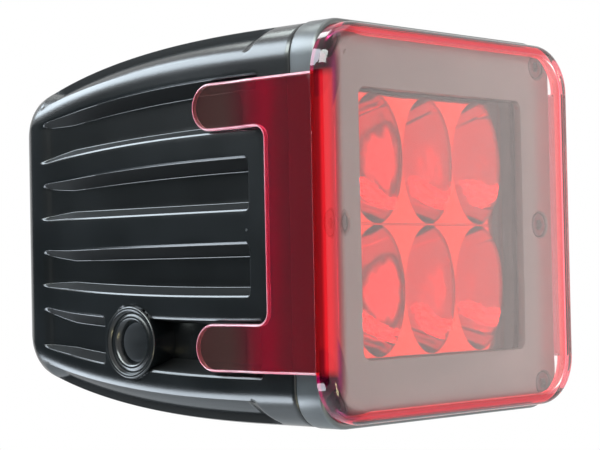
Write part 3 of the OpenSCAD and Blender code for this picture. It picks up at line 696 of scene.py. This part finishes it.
def add_dark_card():
    """A black flag behind the lamp on the left, so that the flat sides stay dark."""
    aim = Vector(place(LAMP_MIDDLE))
    way = Vector((-0.737, 0.676, 0.0)).normalized()
    across = Vector((way.y, -way.x, 0))
    centre = aim + way * 0.8
    up = Vector((0, 0, 1))
    half_w, low, high = 0.75, 0.75, 0.16
    corners = [centre + across * a + up * b for a, b in
               ((-half_w, -low), (half_w, -low), (half_w, high), (-half_w, high))]
    mesh = bpy.data.meshes.new("dark_card")
    mesh.from_pydata([tuple(c) for c in corners], [], [(0, 1, 2, 3)])
    card = put("dark_card", mesh)
    mesh.materials.append(plain_finish("black felt", (0.01, 0.01, 0.011), 0.9))
    card.visible_camera = False
    card.visible_diffuse = False
    card.visible_transmission = False
    card.visible_shadow = False


# Each softbox: its direction and distance, width, height, radiance, colour, and if only mirrored
SOFTBOXES = (
    ("front_right_softbox", (0.737, -0.676, 0.0), 1.0, 1.0, 0.9, 1.15, (1.0, 0.98, 0.93)),
    ("rear_high_softbox", (-0.46, 0.70, 0.50), 0.8, 0.55, 0.34, 12.0, (0.78, 0.9, 1.0)),
    ("rear_low_softbox", (-0.5, 0.68, -0.42), 0.6, 0.4, 0.13, 11.0, (0.8, 0.9, 1.0)),
    ("corner_window", (0.03, 0.567, 0.82), 0.8, 0.2, 0.16, 9.0, (0.9, 1.0, 0.98)),
    ("left_window", (-0.82, 0.06, 0.57), 0.8, 0.7, 0.34, 16.0, (0.9, 1.0, 0.97), True),
    ("low_strip", (-0.635, -0.59, -0.49), 0.5, 0.032, 0.2, 24.0, (1.0, 0.9, 0.5), True),
    ("thin_strip", (-0.53, -0.63, -0.56), 0.5, 0.01, 0.09, 24.0, (1.0, 0.9, 0.5), True),
    ("top_softbox", (0.1, -0.1, 1.0), 0.9, 0.6, 0.5, 1.5),
)


# ---- Housing ----

def soft(t):
    t = np.clip(t, 0, 1)
    return t * t * (3 - 2 * t)


# Height of a pocket wall from its lip (0) to its floor (1): an eased lip, a steep wall, a foot
WALL_Q = np.linspace(0, 1, 401)
EASED = 0.24 * soft(WALL_Q / 0.05) * soft((1 - WALL_Q) / 0.03)
STEEP = 1.35 * soft((WALL_Q - 0.18) / 0.08) * soft((0.93 - WALL_Q) / 0.06)
WALL_RISE = np.cumsum(EASED + STEEP) / (EASED + STEEP).sum()
WALL_LINES = (0.0, 0.03, 0.06, 0.11, 0.16, 0.19, 0.22, 0.25, 0.32, 0.5, 0.7, 0.86, 0.89, 0.92,
              0.95, 0.98, 1.0)


def taper(y):
    """Pocket walls grow narrower towards the rear end of the pockets."""
    return np.clip((POCKET_END + 1 - y) / 12, 0.2, 1) ** 0.5


def wall_share(q):
    return np.interp(q, WALL_Q, WALL_RISE)


def joined(a, b):
    """Two wall distances, in wall widths, joined by a rounded corner."""
    return 1 - np.hypot(np.clip(1 - a, 0, None), np.clip(1 - b, 0, None))


def pocket_depth(y, start):
    u = np.clip((y - start) / (POCKET_END - start), 0, 1)
    return TAIL_DEPTH + (POCKET_DEPTH - TAIL_DEPTH) * (1 - u ** 2.6)


def pocket(y, z, low, high, start, end, walls, depth):
    """How far a pocket reaches in at places (y, z). walls: low, high, front and rear widths."""
    across = np.minimum((z - low) / walls[0], (high - z) / walls[1])
    along = np.minimum((y - start) / walls[2], (end - y) / walls[3])
    return depth * wall_share(joined(across, along))


def side_pockets(y, z):
    """Depth of the pockets on a flat side. The lower outer one is split by the boss."""
    top = half_top(y)
    lower, upper = LOWER_WALL * taper(y), UPPER_WALL * taper(y)
    depth = np.zeros_like(y)
    for up in (1, -1):
        s = z * up
        walls = (lower, upper) if up > 0 else (upper, lower)
        depth += pocket(y, s, MID_RIB, EDGES[0] * top, INNER_START, POCKET_END,
                        (*walls, FRONT_WALL, REAR_WALL_RUN), pocket_depth(y, INNER_START))
    depth += pocket(y, z, EDGES[1] * top, EDGES[2] * top, OUTER_START, POCKET_END,
                    (lower, upper, FRONT_WALL, REAR_WALL_RUN), pocket_depth(y, OUTER_START))
    low, high = -EDGES[2] * top, -EDGES[1] * top
    depth += pocket(y, z, low, high, OUTER_START, BOSS_Y, (3.2, 1.0, 0.6, 0.5), POCKET_DEPTH)
    depth += pocket(y, z, low, high, BOSS_Y + BOSS_R + 1.2, POCKET_END,
                    (lower, upper, 0.6, REAR_WALL_RUN), pocket_depth(y, OUTER_START))
    seat = 1 - np.clip((np.hypot(y - BOSS_Y, z - BOSS_Z) - BOSS_SEAT) / 2, 0, 1)
    return np.where(seat > 0, np.maximum(depth, BOSS_SEAT_DEPTH * seat), depth)


def top_pockets(y, x):
    side = half_side(y)
    s = abs(x)
    wall = TOP_WALL * taper(y)
    walls = (wall, wall, FRONT_WALL, REAR_WALL_RUN)
    depth = pocket_depth(y, INNER_START)
    return sum(pocket(y, s, low, high, INNER_START, POCKET_END, walls, depth)
               for low, high in ((MID_RIB, EDGES[0] * side), (EDGES[1] * side, EDGES[2] * side)))


def shoulder(y, t):
    """Depth of a shoulder pocket at a share t of its width, from the flat side to the top."""
    start = 15.5 + 4.0 * (1 - t)
    across = np.minimum(t, 1 - t) / 0.07
    along = np.minimum((y - start) / 4.5, (POCKET_END - y) / 5.0)
    return SHOULDER_DEPTH * wall_share(across) * np.clip(along, 0, 1)


def evenly(a, b, n):
    return [a + (b - a) * i / n for i in range(1, n + 1)]


def pocket_lines(a, b, low_wall, high_wall):
    """Lines across one pocket, close together over its rounded lips and feet."""
    lines = [a + q * low_wall for q in WALL_LINES[1:]]
    lines += evenly(a + low_wall, b - high_wall, 7)
    return lines + [b - q * high_wall for q in WALL_LINES[-2::-1]]


def lengthwise_lines(y, half, low_wall, high_wall):
    """The lines on half of one flat side, from the middle rib to the shoulder."""
    lines = [np.full_like(y, MID_RIB * k / 3) for k in range(4)]
    edges = [share * half(y) for share in EDGES]
    lines += pocket_lines(lines[-1], edges[0], low_wall, high_wall)
    lines += evenly(edges[0], edges[1], 5)
    lines += pocket_lines(edges[1], edges[2], low_wall, high_wall)
    return lines + evenly(edges[2], edges[3], 7)


def corner_angle(along, half, radius):
    """Angle on the corner arc at which a line along the side leaves it."""
    return np.arcsin(np.clip((along - (half - radius)) / radius, -1, 1))


def housing_rows():
    front = [SEAM, SEAM + 0.12, SEAM + 0.5, 9.0, 11.0, 13.0]
    dense = list(np.arange(14.5, 25.0, 0.3))
    middle = list(np.arange(26.0, 66.0, 1.1)) + [66.6, 67.0, 67.4, 67.6, 67.8, 68.0, 68.4]
    back = list(np.arange(69.2, 80.0, 1.1)) + list(np.arange(80.5, POCKET_END + 0.6, 0.55))
    edge = [REAR - REAR_EDGE + REAR_EDGE * math.sin(math.radians(a)) for a in range(0, 91, 9)]
    return np.array(front + dense + middle + back + edge)


def housing_skin(y, pockets=1):
    """Points of the finned skin: one row for each y, each going round the whole section."""
    w, h = half_side(y), half_top(y)
    fillet = np.zeros_like(y)
    fillet[0], fillet[1] = 0.55, 0.2
    lower, upper, wall = (width * taper(y) for width in (LOWER_WALL, UPPER_WALL, TOP_WALL))
    side_lines = lengthwise_lines(y, half_top, lower, upper)
    low_side_lines = lengthwise_lines(y, half_top, upper, lower)
    top_lines = lengthwise_lines(y, half_side, wall, wall)
    columns = []
    r = CORNER

    def side_point(z, sx):
        over = np.clip(abs(z) - (h - r), 0, r)
        x = w - r + np.sqrt(r * r - over * over)
        return sx * (x - pockets * side_pockets(y, z) - fillet), z * (1 - fillet / h)

    def top_point(x, sz):
        over = np.clip(abs(x) - (w - r), 0, r)
        z = h - r + np.sqrt(r * r - over * over)
        return x * (1 - fillet / w), sz * (z - pockets * top_pockets(y, x) - fillet)

    def corner_points(sx, sz, forwards):
        a0 = corner_angle(side_lines[-1], h, r)
        a1 = math.pi / 2 - corner_angle(top_lines[-1], w, r)
        count = 16
        shares = [i / count for i in range(1, count)]
        shares = [0.5 * t + 0.5 * (1 - math.cos(math.pi * t)) / 2 for t in shares]
        for t in shares if forwards else shares[::-1]:
            a = a0 + (a1 - a0) * t
            reach = r - pockets * shoulder(y, t) - fillet
            columns.append((sx * (w - r + reach * np.cos(a)), sz * (h - r + reach * np.sin(a))))

    up_side = [-z for z in low_side_lines[:0:-1]] + side_lines
    along_top = top_lines[::-1] + [-x for x in top_lines[1:]]
    for z in up_side:
        columns.append(side_point(z, 1))
    corner_points(1, 1, True)
    for x in along_top:
        columns.append(top_point(x, 1))
    corner_points(-1, 1, False)
    for z in up_side[::-1]:
        columns.append(side_point(z, -1))
    corner_points(-1, -1, True)
    for x in along_top[::-1]:
        columns.append(top_point(x, -1))
    corner_points(1, -1, False)
    x = np.stack([c[0] for c in columns], axis=1)
    z = np.stack([c[1] for c in columns], axis=1)
    return np.stack([x, np.repeat(y[:, None], x.shape[1], axis=1), z], axis=2)


def facings(skin):
    """The unit normal of each face between one row and the next."""
    beyond = np.roll(skin, -1, axis=1)
    normal = np.cross(beyond[1:] - skin[:-1], skin[1:] - beyond[:-1])
    return normal / (np.linalg.norm(normal, axis=2, keepdims=True) + 1e-12)


def add_housing():
    shell = Shell()
    y = housing_rows()
    skin = housing_skin(y)
    # Faces steeper than 30 degrees against the skin without pockets take the painted pocket wall shade.
    steep = np.sum(facings(skin) * facings(housing_skin(y, 0)), axis=2) < math.cos(math.radians(30))
    rings = [shell.ring(row) for row in skin]
    n = len(rings[0])
    for a, b, walls in zip(rings, rings[1:], steep):
        for i in range(n):
            j = (i + 1) % n
            shell.face((a[i], a[j], b[j], b[i]), int(walls[i]))
    mouth = [shell.ring(rounded_loop(*CAVITY, at)) for at in (SEAM, LEDGE)]
    well = [shell.ring(rounded_loop(*REAR_CAVITY, at)) for at in (LEDGE, REAR - REAR_WALL)]
    shell.fill([rings[0], mouth[0]])
    shell.bridge(*mouth)
    shell.bridge(mouth[1], well[0])
    shell.bridge(*well)
    holes = []
    for low, high, radius in ((GLAND_LOW, GLAND_HIGH, 6.02), (VENT_LOW, VENT_HIGH, 2.52)):
        z = height_of(low, high)
        ends = [shell.ring(round_ring(radius, at, 0, z, 40)) for at in (REAR - REAR_WALL, REAR)]
        shell.bridge(*ends)
        holes.append(ends)
    shell.fill([well[1], holes[0][0], holes[1][0]])
    shell.fill([rings[-1], holes[0][1], holes[1][1]])
    shell.piece("housing_shell", [FINISH["housing_black"], POCKET_WALL_SHADE], "lamp", "housing_black",
                ("housing",), 45)


def hand(side):
    return "right" if side > 0 else "left"


def add_side_boss(side):
    """Raised ring, dished seat and tapped hole for the side bolt."""
    shell = Shell()
    profile = [(BOSS_R - 0.3, -11.2), (BOSS_R, -10.8), (BOSS_R, -0.35), (8.1, -0.12), (7.88, 0.0),
               (7.5, 0.0), (7.3, -0.1), (7.15, -0.45), (6.9, -0.75), (6.6, -0.8), (6.3, -0.7),
               (6.0, -0.55), (5.6, -0.5), (5.3, -0.6), (5.0, -0.95), (4.75, -1.3), (4.55, -1.7),
               (4.4, -2.3), (4.2, -4.0), (3.9, -6.0), (3.6, -8.6), (3.2, -9.5), (2.4, -9.9),
               (0.4, -10.0)]
    rings = []
    for radius, depth in profile:
        ring = [(side * (BOSS_X + depth), BOSS_Y + a[0], BOSS_Z + a[2])
                for a in round_ring(radius, 0, n=72)]
        rings.append(shell.ring(ring))
    for a, b, (_, depth) in zip(rings, rings[1:], profile):
        shell.bridge(a, b, finish=int(depth < -2.0 and depth > -10.5))
    shell.face(rings[0])
    shell.face(rings[-1], 1)
    shell.piece("side_boss_" + hand(side), [FINISH["housing_black"], BARE_THREAD], "lamp",
                "housing_black", (), 40)


# ---- Bezel, screws and reflector ----

WINDOW = (29.0, 28.7, 2.0)
LENS_SEAT = (31.45, 31.15, 3.05)
SCREWS = [(sx * (BEZEL_W - 5.2), sz * (BEZEL_H - 5.6)) for sx in (-1, 1) for sz in (-1, 0, 1)]


def add_bezel():
    shell = Shell()
    edge = 0.9
    outline = [(0.7, SEAM), (0.3, SEAM - 0.15), (0.1, SEAM - 0.4), (0.0, SEAM - 0.8)]
    outline += [(edge * (1 - math.cos(math.radians(a))), edge * (1 - math.sin(math.radians(a))))
                for a in range(0, 91, 10)]
    rings = [shell.ring(rounded_loop(BEZEL_W - i, BEZEL_H - i, CORNER - i, y)) for i, y in outline]
    lip = [(0.5, 0.0), (0.15, 0.12), (0.0, 0.45), (0.0, 1.5), (0.1, 1.6)]
    rings += [shell.ring(rounded_loop(WINDOW[0] + i, WINDOW[1] + i, WINDOW[2] + i, y))
              for i, y in lip]
    rings += [shell.ring(rounded_loop(*LENS_SEAT, y)) for y in (1.6, SEAM)]
    for a, b in zip(rings, rings[1:] + rings[:1]):
        shell.bridge(a, b)
    bezel = shell.piece("bezel_frame", FINISH["bezel_black"], None, "bezel_black", ("bezel",), 40)
    cutter = Shell()
    for x, z in SCREWS:
        turned(cutter, [(3.5, -0.3), (3.3, -0.01), (3.0, 0.3), (3.0, 2.2), (1.7, 2.2), (1.7, 9.0)],
               x, z, 40)
    holes = cutter.piece("screw_holes", FINISH["bezel_black"], None, "bezel_black")
    cut = bezel.modifiers.new("holes", "BOOLEAN")
    cut.operation = "DIFFERENCE"
    cut.object = holes
    cut.solver = "EXACT"
    settle(bezel)
    bpy.data.objects.remove(holes)
    bezel.data.set_sharp_from_angle(angle=math.radians(40))
    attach(bezel, "lamp")


def add_screw(shell, x, z, seat, shank, head, height, length, n=36):
    """A cap screw along y with a rounded head and a hexagon socket."""
    top = seat - height
    socket = head * 0.5
    profile = [(socket * 0.2, top + height * 0.62, 6), (socket, top + height * 0.6, 6),
               (socket, top + 0.08, 6), (socket + 0.1, top), (head - 0.35, top), (head - 0.1, top + 0.1),
               (head, top + 0.35), (head, seat), (shank, seat), (shank, seat + length - 0.4),
               (shank - 0.4, seat + length)]
    turned(shell, profile, x, z, n)


def add_bezel_screws():
    shell = Shell()
    for x, z in SCREWS:
        add_screw(shell, x, z, 2.2, 1.5, 2.7, 1.9, 12.0)
    shell.piece("bezel_cap_screws", FINISH["black_steel"], "lamp", "black_steel", ("bezel_screws",))


def cup_rings(shell, cx, cz, mouth, depth, n=72, steps=22):
    """The rings of one oval cup, from its mouth to its round neck."""
    front, back = depth
    neck = 3.1
    rings = []
    for k in range(steps + 1):
        s = 1 - (1 - k / steps) ** 1.6
        share = (1 - s) ** 0.55
        lip = 0.12 * (k == 0)
        ra, rb = (neck + (half - neck) * share for half in mouth)
        y = front + s * (back - front) + 0.1 * (k > 0)
        rings.append(shell.ring([(cx + (ra + lip) * math.cos(2 * math.pi * i / n), y,
                                  cz + (rb + lip) * math.sin(2 * math.pi * i / n))
                                 for i in range(n)]))
    return rings


def add_reflector():
    """Six oval mirror cups sunk in a flat front, plated all over."""
    front, back = local(CUPS_LOW)[1], local(CUPS_HIGH)[1]
    half_w, _, half_h = local(CUPS_HIGH)
    dx, dz = (half_w - 0.6) / 1.5, half_h
    mouth = (dx / 2 - 0.15, dz / 2 - 0.25)
    shell = Shell()
    outer = [shell.ring(rounded_loop(half_w, half_h, 2.0, y, 6, 4)) for y in (front, front + 1.4)]
    mouths = []
    for cx in (-dx, 0, dx):
        for cz in (-dz / 2, dz / 2):
            rings = cup_rings(shell, cx, cz, mouth, (front, back))
            for p, q in zip(rings, rings[1:]):
                shell.bridge(p, q)
            mouths.append(rings[0])
    shell.fill([outer[0]] + mouths)
    shell.bridge(*outer)
    piece = shell.piece("reflector_cups", FINISH["mirror_plating"], None, "mirror_plating",
                        ("reflector",), 50)
    wall = piece.modifiers.new("wall", "SOLIDIFY")
    wall.thickness = 0.4 * MM
    wall.offset = -1.0
    settle(piece)
    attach(piece, "lamp")
    add_bead(front, half_w)


def add_bead(front, half_w):
    """The thin bead along the reflector's front, between its two rows of cups."""
    bead = Shell()
    r = 0.28
    ends = [bead.ring([(x, front - 0.1 + r * math.sin(a), r * math.cos(a))
                       for a in np.linspace(0, 2 * math.pi, 12, endpoint=False)])
            for x in (0.3 - half_w, half_w - 0.3)]
    bead.bridge(*ends)
    bead.face(ends[0])
    bead.face(ends[1])
    bead.piece("reflector_bead", FINISH["mirror_plating"], "lamp", "mirror_plating")


# ---- Filter cover and clip arms ----

COVER_W, _, COVER_H = local(COVER_HIGH)
COVER_FRONT = local(COVER_LOW)[1]
COVER_REAR = local(COVER_HIGH)[1]
WALL = 2.0
PLATE = 2.6
EDGE = 3.5
COVER_R = 11.0
ARM_HALF = local(ARM_HIGH)[2]
ARM_L = 13.4
TAB_REACH = local(ARM_HIGH)[1]
TAB_H = 10.4
TAB_FILLET = 2.6
JOGGLE = (17.5, 22.5, 0.75)


def cover_loop(inset, y):
    """A loop of the tray. The arms reach past its straight sides, so its corners start higher."""
    w, h, r = COVER_W - inset, COVER_H - inset, COVER_R - inset
    along, per_corner = 24, 14
    start = math.asin((ARM_HALF - (h - r)) / r)
    corner = [(w - r + r * math.cos(start), ARM_HALF)]
    for i in range(per_corner + 1):
        a = start + (math.pi / 2 - start) * (i / per_corner * 0.999 + 0.001)
        corner.append((w - r + r * math.cos(a), h - r + r * math.sin(a)))
    points = []
    for sx, sz in ((1, 1), (-1, 1), (-1, -1), (1, -1)):
        upright_next = sx * sz < 0
        ordered = corner[::-1] if upright_next else corner
        points += [(sx * x, y, sz * z) for x, z in ordered]
        for i in range(1, along):
            if upright_next:
                points.append((sx * w, y, sz * (ARM_HALF - 2 * ARM_HALF * i / along)))
            else:
                points.append((sx * (w - r - 2 * (w - r) * i / along), y, sz * h))
    return points


def add_tray():
    """The cover's front plate and rim, one moulding with rounded edges."""
    shell = Shell()
    outer = [(0.12, COVER_REAR), (0.0, COVER_REAR - 0.15)]
    outer += [(EDGE * (1 - math.cos(math.radians(a))),
               COVER_FRONT + EDGE * (1 - math.sin(math.radians(a)))) for a in range(0, 91, 9)]
    inner_edge = EDGE - WALL
    back = COVER_FRONT + PLATE
    inner = [(WALL + inner_edge * (1 - math.cos(math.radians(a))),
              back + inner_edge * (1 - math.sin(math.radians(a)))) for a in range(90, -1, -15)]
    inner += [(WALL, COVER_REAR)]
    out_rings = [shell.ring(cover_loop(i, y)) for i, y in outer]
    in_rings = [shell.ring(cover_loop(i, y)) for i, y in inner]
    for a, b in zip(out_rings, out_rings[1:]):
        shell.bridge(a, b)
    shell.face(out_rings[-1])
    shell.face(in_rings[0])
    for a, b in zip(in_rings, in_rings[1:]):
        shell.bridge(a, b)
    first, last = out_rings[0], in_rings[-1]
    n = len(first)
    for i in range(n):
        j = (i + 1) % n
        zs = [shell.points[k][2] for k in (first[i], first[j])]
        xs = [shell.points[k][0] for k in (first[i], first[j])]
        root = max(abs(z) for z in zs) <= ARM_HALF + 0.01 and min(abs(x) for x in xs) > COVER_W - 3
        shell.face((first[i], first[j], last[j], last[i]), 1 if root else 0)
    shell.piece("cover_tray", [COVER_RED, INSIDE], "cover", "clear_red", ("filter_cover",), 30)


def arm_outline(inset):
    """Outline of an arm in (y, z), from its lower root corner round the tabs to the upper one."""
    tip = TAB_H / 2
    tab_low = ARM_HALF - TAB_H
    r = tip - inset
    cy, cz = TAB_REACH - tip, tab_low + tip
    fillet = TAB_FILLET + inset
    fy, fz = ARM_L + TAB_FILLET, tab_low - TAB_FILLET
    upper = [(COVER_REAR, ARM_HALF - inset)]
    upper += [(COVER_REAR + (cy - COVER_REAR) * i / 30, ARM_HALF - inset) for i in range(1, 30)]
    upper += arc(cy, cz, r, 90, -90, 24)
    reach = cy - fy
    upper += [(cy - reach * i / 10, tab_low + inset) for i in range(1, 10)]
    upper += arc(fy, fz, fillet, 90, 180, 12)
    upper += [(ARM_L - inset, fz * (1 - i / 14)) for i in range(1, 15)]
    lower = [(y, -z) for y, z in upper[::-1]][1:]
    return upper + lower


def arm_shift(y):
    """How far the arm steps in towards the housing at a place along it."""
    start, end, step = JOGGLE
    t = np.clip((y - start) / (end - start), 0, 1)
    return -step * t * t * (3 - 2 * t)


def arm_grid(flat, side, x):
    """Points inside an arm's outline, closer together along the joggle."""
    grid = []
    for y in list(np.arange(1.2, 16.5, 1.5)) + list(np.arange(17.5, 23.0, 0.5)) \
            + list(np.arange(24.0, TAB_REACH, 1.5)):
        for z in np.arange(-30.0, 30.1, 1.5):
            near = np.min(np.hypot(flat[:, 0] - y, flat[:, 1] - z))
            if near > 0.6 and inside((y, z), flat):
                grid.append((side * (x + float(arm_shift(y))), y, z))
    return grid


def arm_face(shell, loop, side, x):
    """Closes one broad side of an arm with triangles, and returns the points of its root."""
    root_z = shell.points[loop[0]][2]
    root = shell.ring([(side * x, COVER_REAR, -root_z + 2 * root_z * i / 20)
                       for i in range(1, 20)])
    outline = loop + root
    flat = np.array([shell.points[k][1:3] for k in outline])
    ids = outline + shell.ring(arm_grid(flat, side, x))
    points = [Vector(shell.points[k][1:3]) for k in ids]
    count = len(outline)
    edges = [(i, (i + 1) % count) for i in range(count)]
    result = delaunay_2d_cdt(points, edges, [], 0, 1e-7)
    for triangle in result[2]:
        keys = [result[3][k][0] for k in triangle]
        middle = sum((points[k] for k in keys), Vector((0, 0))) / 3
        if inside(middle, flat):
            shell.face([ids[k] for k in keys])
    return root


def add_arm(side):
    """One clip arm: a plate with two round-ended tabs, rounded edges and a joggle."""
    shell = Shell()
    outer_x, ease = COVER_W, 0.55
    inner_x = outer_x - WALL
    rounding = [(ease * (1 - math.cos(math.radians(a))), ease * (1 - math.sin(math.radians(a))))
                for a in range(0, 91, 15)]
    levels = [(i, outer_x - d) for i, d in rounding[::-1]] + [(i, inner_x + d) for i, d in rounding]
    loops = []
    for inset, x in levels:
        loops.append(shell.ring([(side * (x + float(arm_shift(y))), y, z)
                                 for y, z in arm_outline(inset)]))
    for a, b in zip(loops, loops[1:]):
        shell.bridge(a, b, closed=False, finish=2)
    caps = [arm_face(shell, loop, side, x)
            for loop, x in ((loops[0], outer_x), (loops[-1], inner_x))]
    top_side = [loop[0] for loop in loops]
    low_side = [loop[-1] for loop in loops]
    shell.face(caps[0] + top_side + caps[1][::-1] + low_side[::-1], 1)
    arm = shell.piece("clip_arm_" + hand(side), [ARM_RED, INSIDE, ARM_EDGE_HIGHLIGHT], None, "clear_red",
                      (hand(side) + "_clip_arm",), 30)
    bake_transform(arm)


# ---- Rear fittings ----

def add_gland():
    z = height_of(GLAND_LOW, GLAND_HIGH)
    neck = 5.0
    shell = Shell()
    profile = [(3.2, REAR - 8.5), (5.7, REAR - 8.5), (6.0, REAR - 8.2)]
    profile += [(5.6 + 0.4 * (i % 2), REAR - 8.2 + 0.5 * i) for i in range(1, 16)]
    profile += [(6.0, REAR), (8.4, REAR, 6), (8.7, REAR + 0.3, 6), (8.7, REAR + 3.4, 6),
                (8.2, REAR + 4.0, 6), (neck, REAR + 4.0), (neck, REAR + 9.7), (neck - 0.3, REAR + 10.0),
                (3.8, REAR + 10.0), (3.8, REAR + 4.0), (3.2, REAR + 4.0)]
    rings = turned(shell, profile, 0, z, 60, close=False, corner=0.25)
    shell.bridge(rings[-1], rings[0])
    shell.piece("gland_fitting", FINISH["fitting_black"], "lamp", "fitting_black", ("gland_body",))


def add_gland_cap():
    z = height_of(GLAND_LOW, GLAND_HIGH)
    shell = Shell()
    low = local(NUT_LOW)[1]
    radius = (local(NUT_HIGH)[0] - local(NUT_LOW)[0]) / 2
    end = local(NUT_HIGH)[1]
    profile = [(5.03, low), (radius - 0.5, low, 6), (radius, low + 0.5, 6), (radius, low + 6.0, 6),
               (radius - 0.7, low + 6.7, 6), (radius - 1.2, low + 7.2), (radius - 1.5, end - 0.7),
               (radius - 2.2, end - 0.1), (radius - 2.8, end), (3.5, end), (3.2, end - 0.3),
               (3.2, low + 6.7), (5.03, low + 6.6)]
    rings = turned(shell, profile, 0, z, 60, close=False, corner=0.25)
    shell.bridge(rings[-1], rings[0])
    shell.piece("gland_cap", FINISH["fitting_black"], "lamp", "fitting_black", ("gland_nut",))


def add_vent():
    z = height_of(VENT_LOW, VENT_HIGH)
    head = (local(VENT_HIGH)[0] - local(VENT_LOW)[0]) / 2
    end = local(VENT_HIGH)[1]
    shell = Shell()
    profile = [(2.3, REAR - 7.0), (2.5, REAR - 6.8), (2.5, end - 3.0), (head - 0.3, end - 3.0)]
    n = 96
    rings = [shell.ring(round_ring(r, y, 0, z, n)) for r, y in profile]
    for height, dip in ((end - 2.7, 0.0), (end - 1.9, 1.0), (end - 1.2, 1.0), (end - 0.5, 0.0)):
        ring = []
        for i in range(n):
            a = 2 * math.pi * i / n
            notch = max(0.0, math.cos(12 * a) * 1.6 - 0.6)
            r = head - 0.55 * dip * notch
            ring.append((r * math.cos(a), height, z + r * math.sin(a)))
        rings.append(shell.ring(ring))
    for r, y in ((head - 0.25, end - 0.15), (head - 0.6, end), (head - 1.4, end),
                 (head - 1.6, end - 0.25), (head - 2.0, end - 0.3), (1.2, end - 0.3),
                 (0.8, end - 0.5)):
        rings.append(shell.ring(round_ring(r, y, 0, z, n)))
    for a, b in zip(rings, rings[1:]):
        shell.bridge(a, b)
    shell.face(rings[0])
    shell.face(rings[-1])
    shell.piece("vent_cap", FINISH["fitting_black"], "lamp", "fitting_black", ("vent_plug",))


# ---- Everything ----

def finish_frame_nodes():
    """Gives each construction piece that shows as it is the finish of its slot."""
    for part in frame["record"]["subparts"]:
        node = frame["nodes"][part["node"]]
        slot = part["material_slot"]
        if slot not in FINISH:
            continue
        if not node.data.materials:
            node.data.materials.append(FINISH[slot])
        for i in range(len(node.material_slots)):
            node.material_slots[i].material = FINISH[slot]


add_camera()
add_stage()
for softbox in SOFTBOXES:
    add_softbox(*softbox)
add_dark_card()
add_housing()
add_side_boss(-1)
add_side_boss(1)
add_bezel()
add_bezel_screws()
add_reflector()
add_tray()
add_arm(-1)
add_arm(1)
add_gland()
add_gland_cap()
add_vent()
finish_frame_nodes()
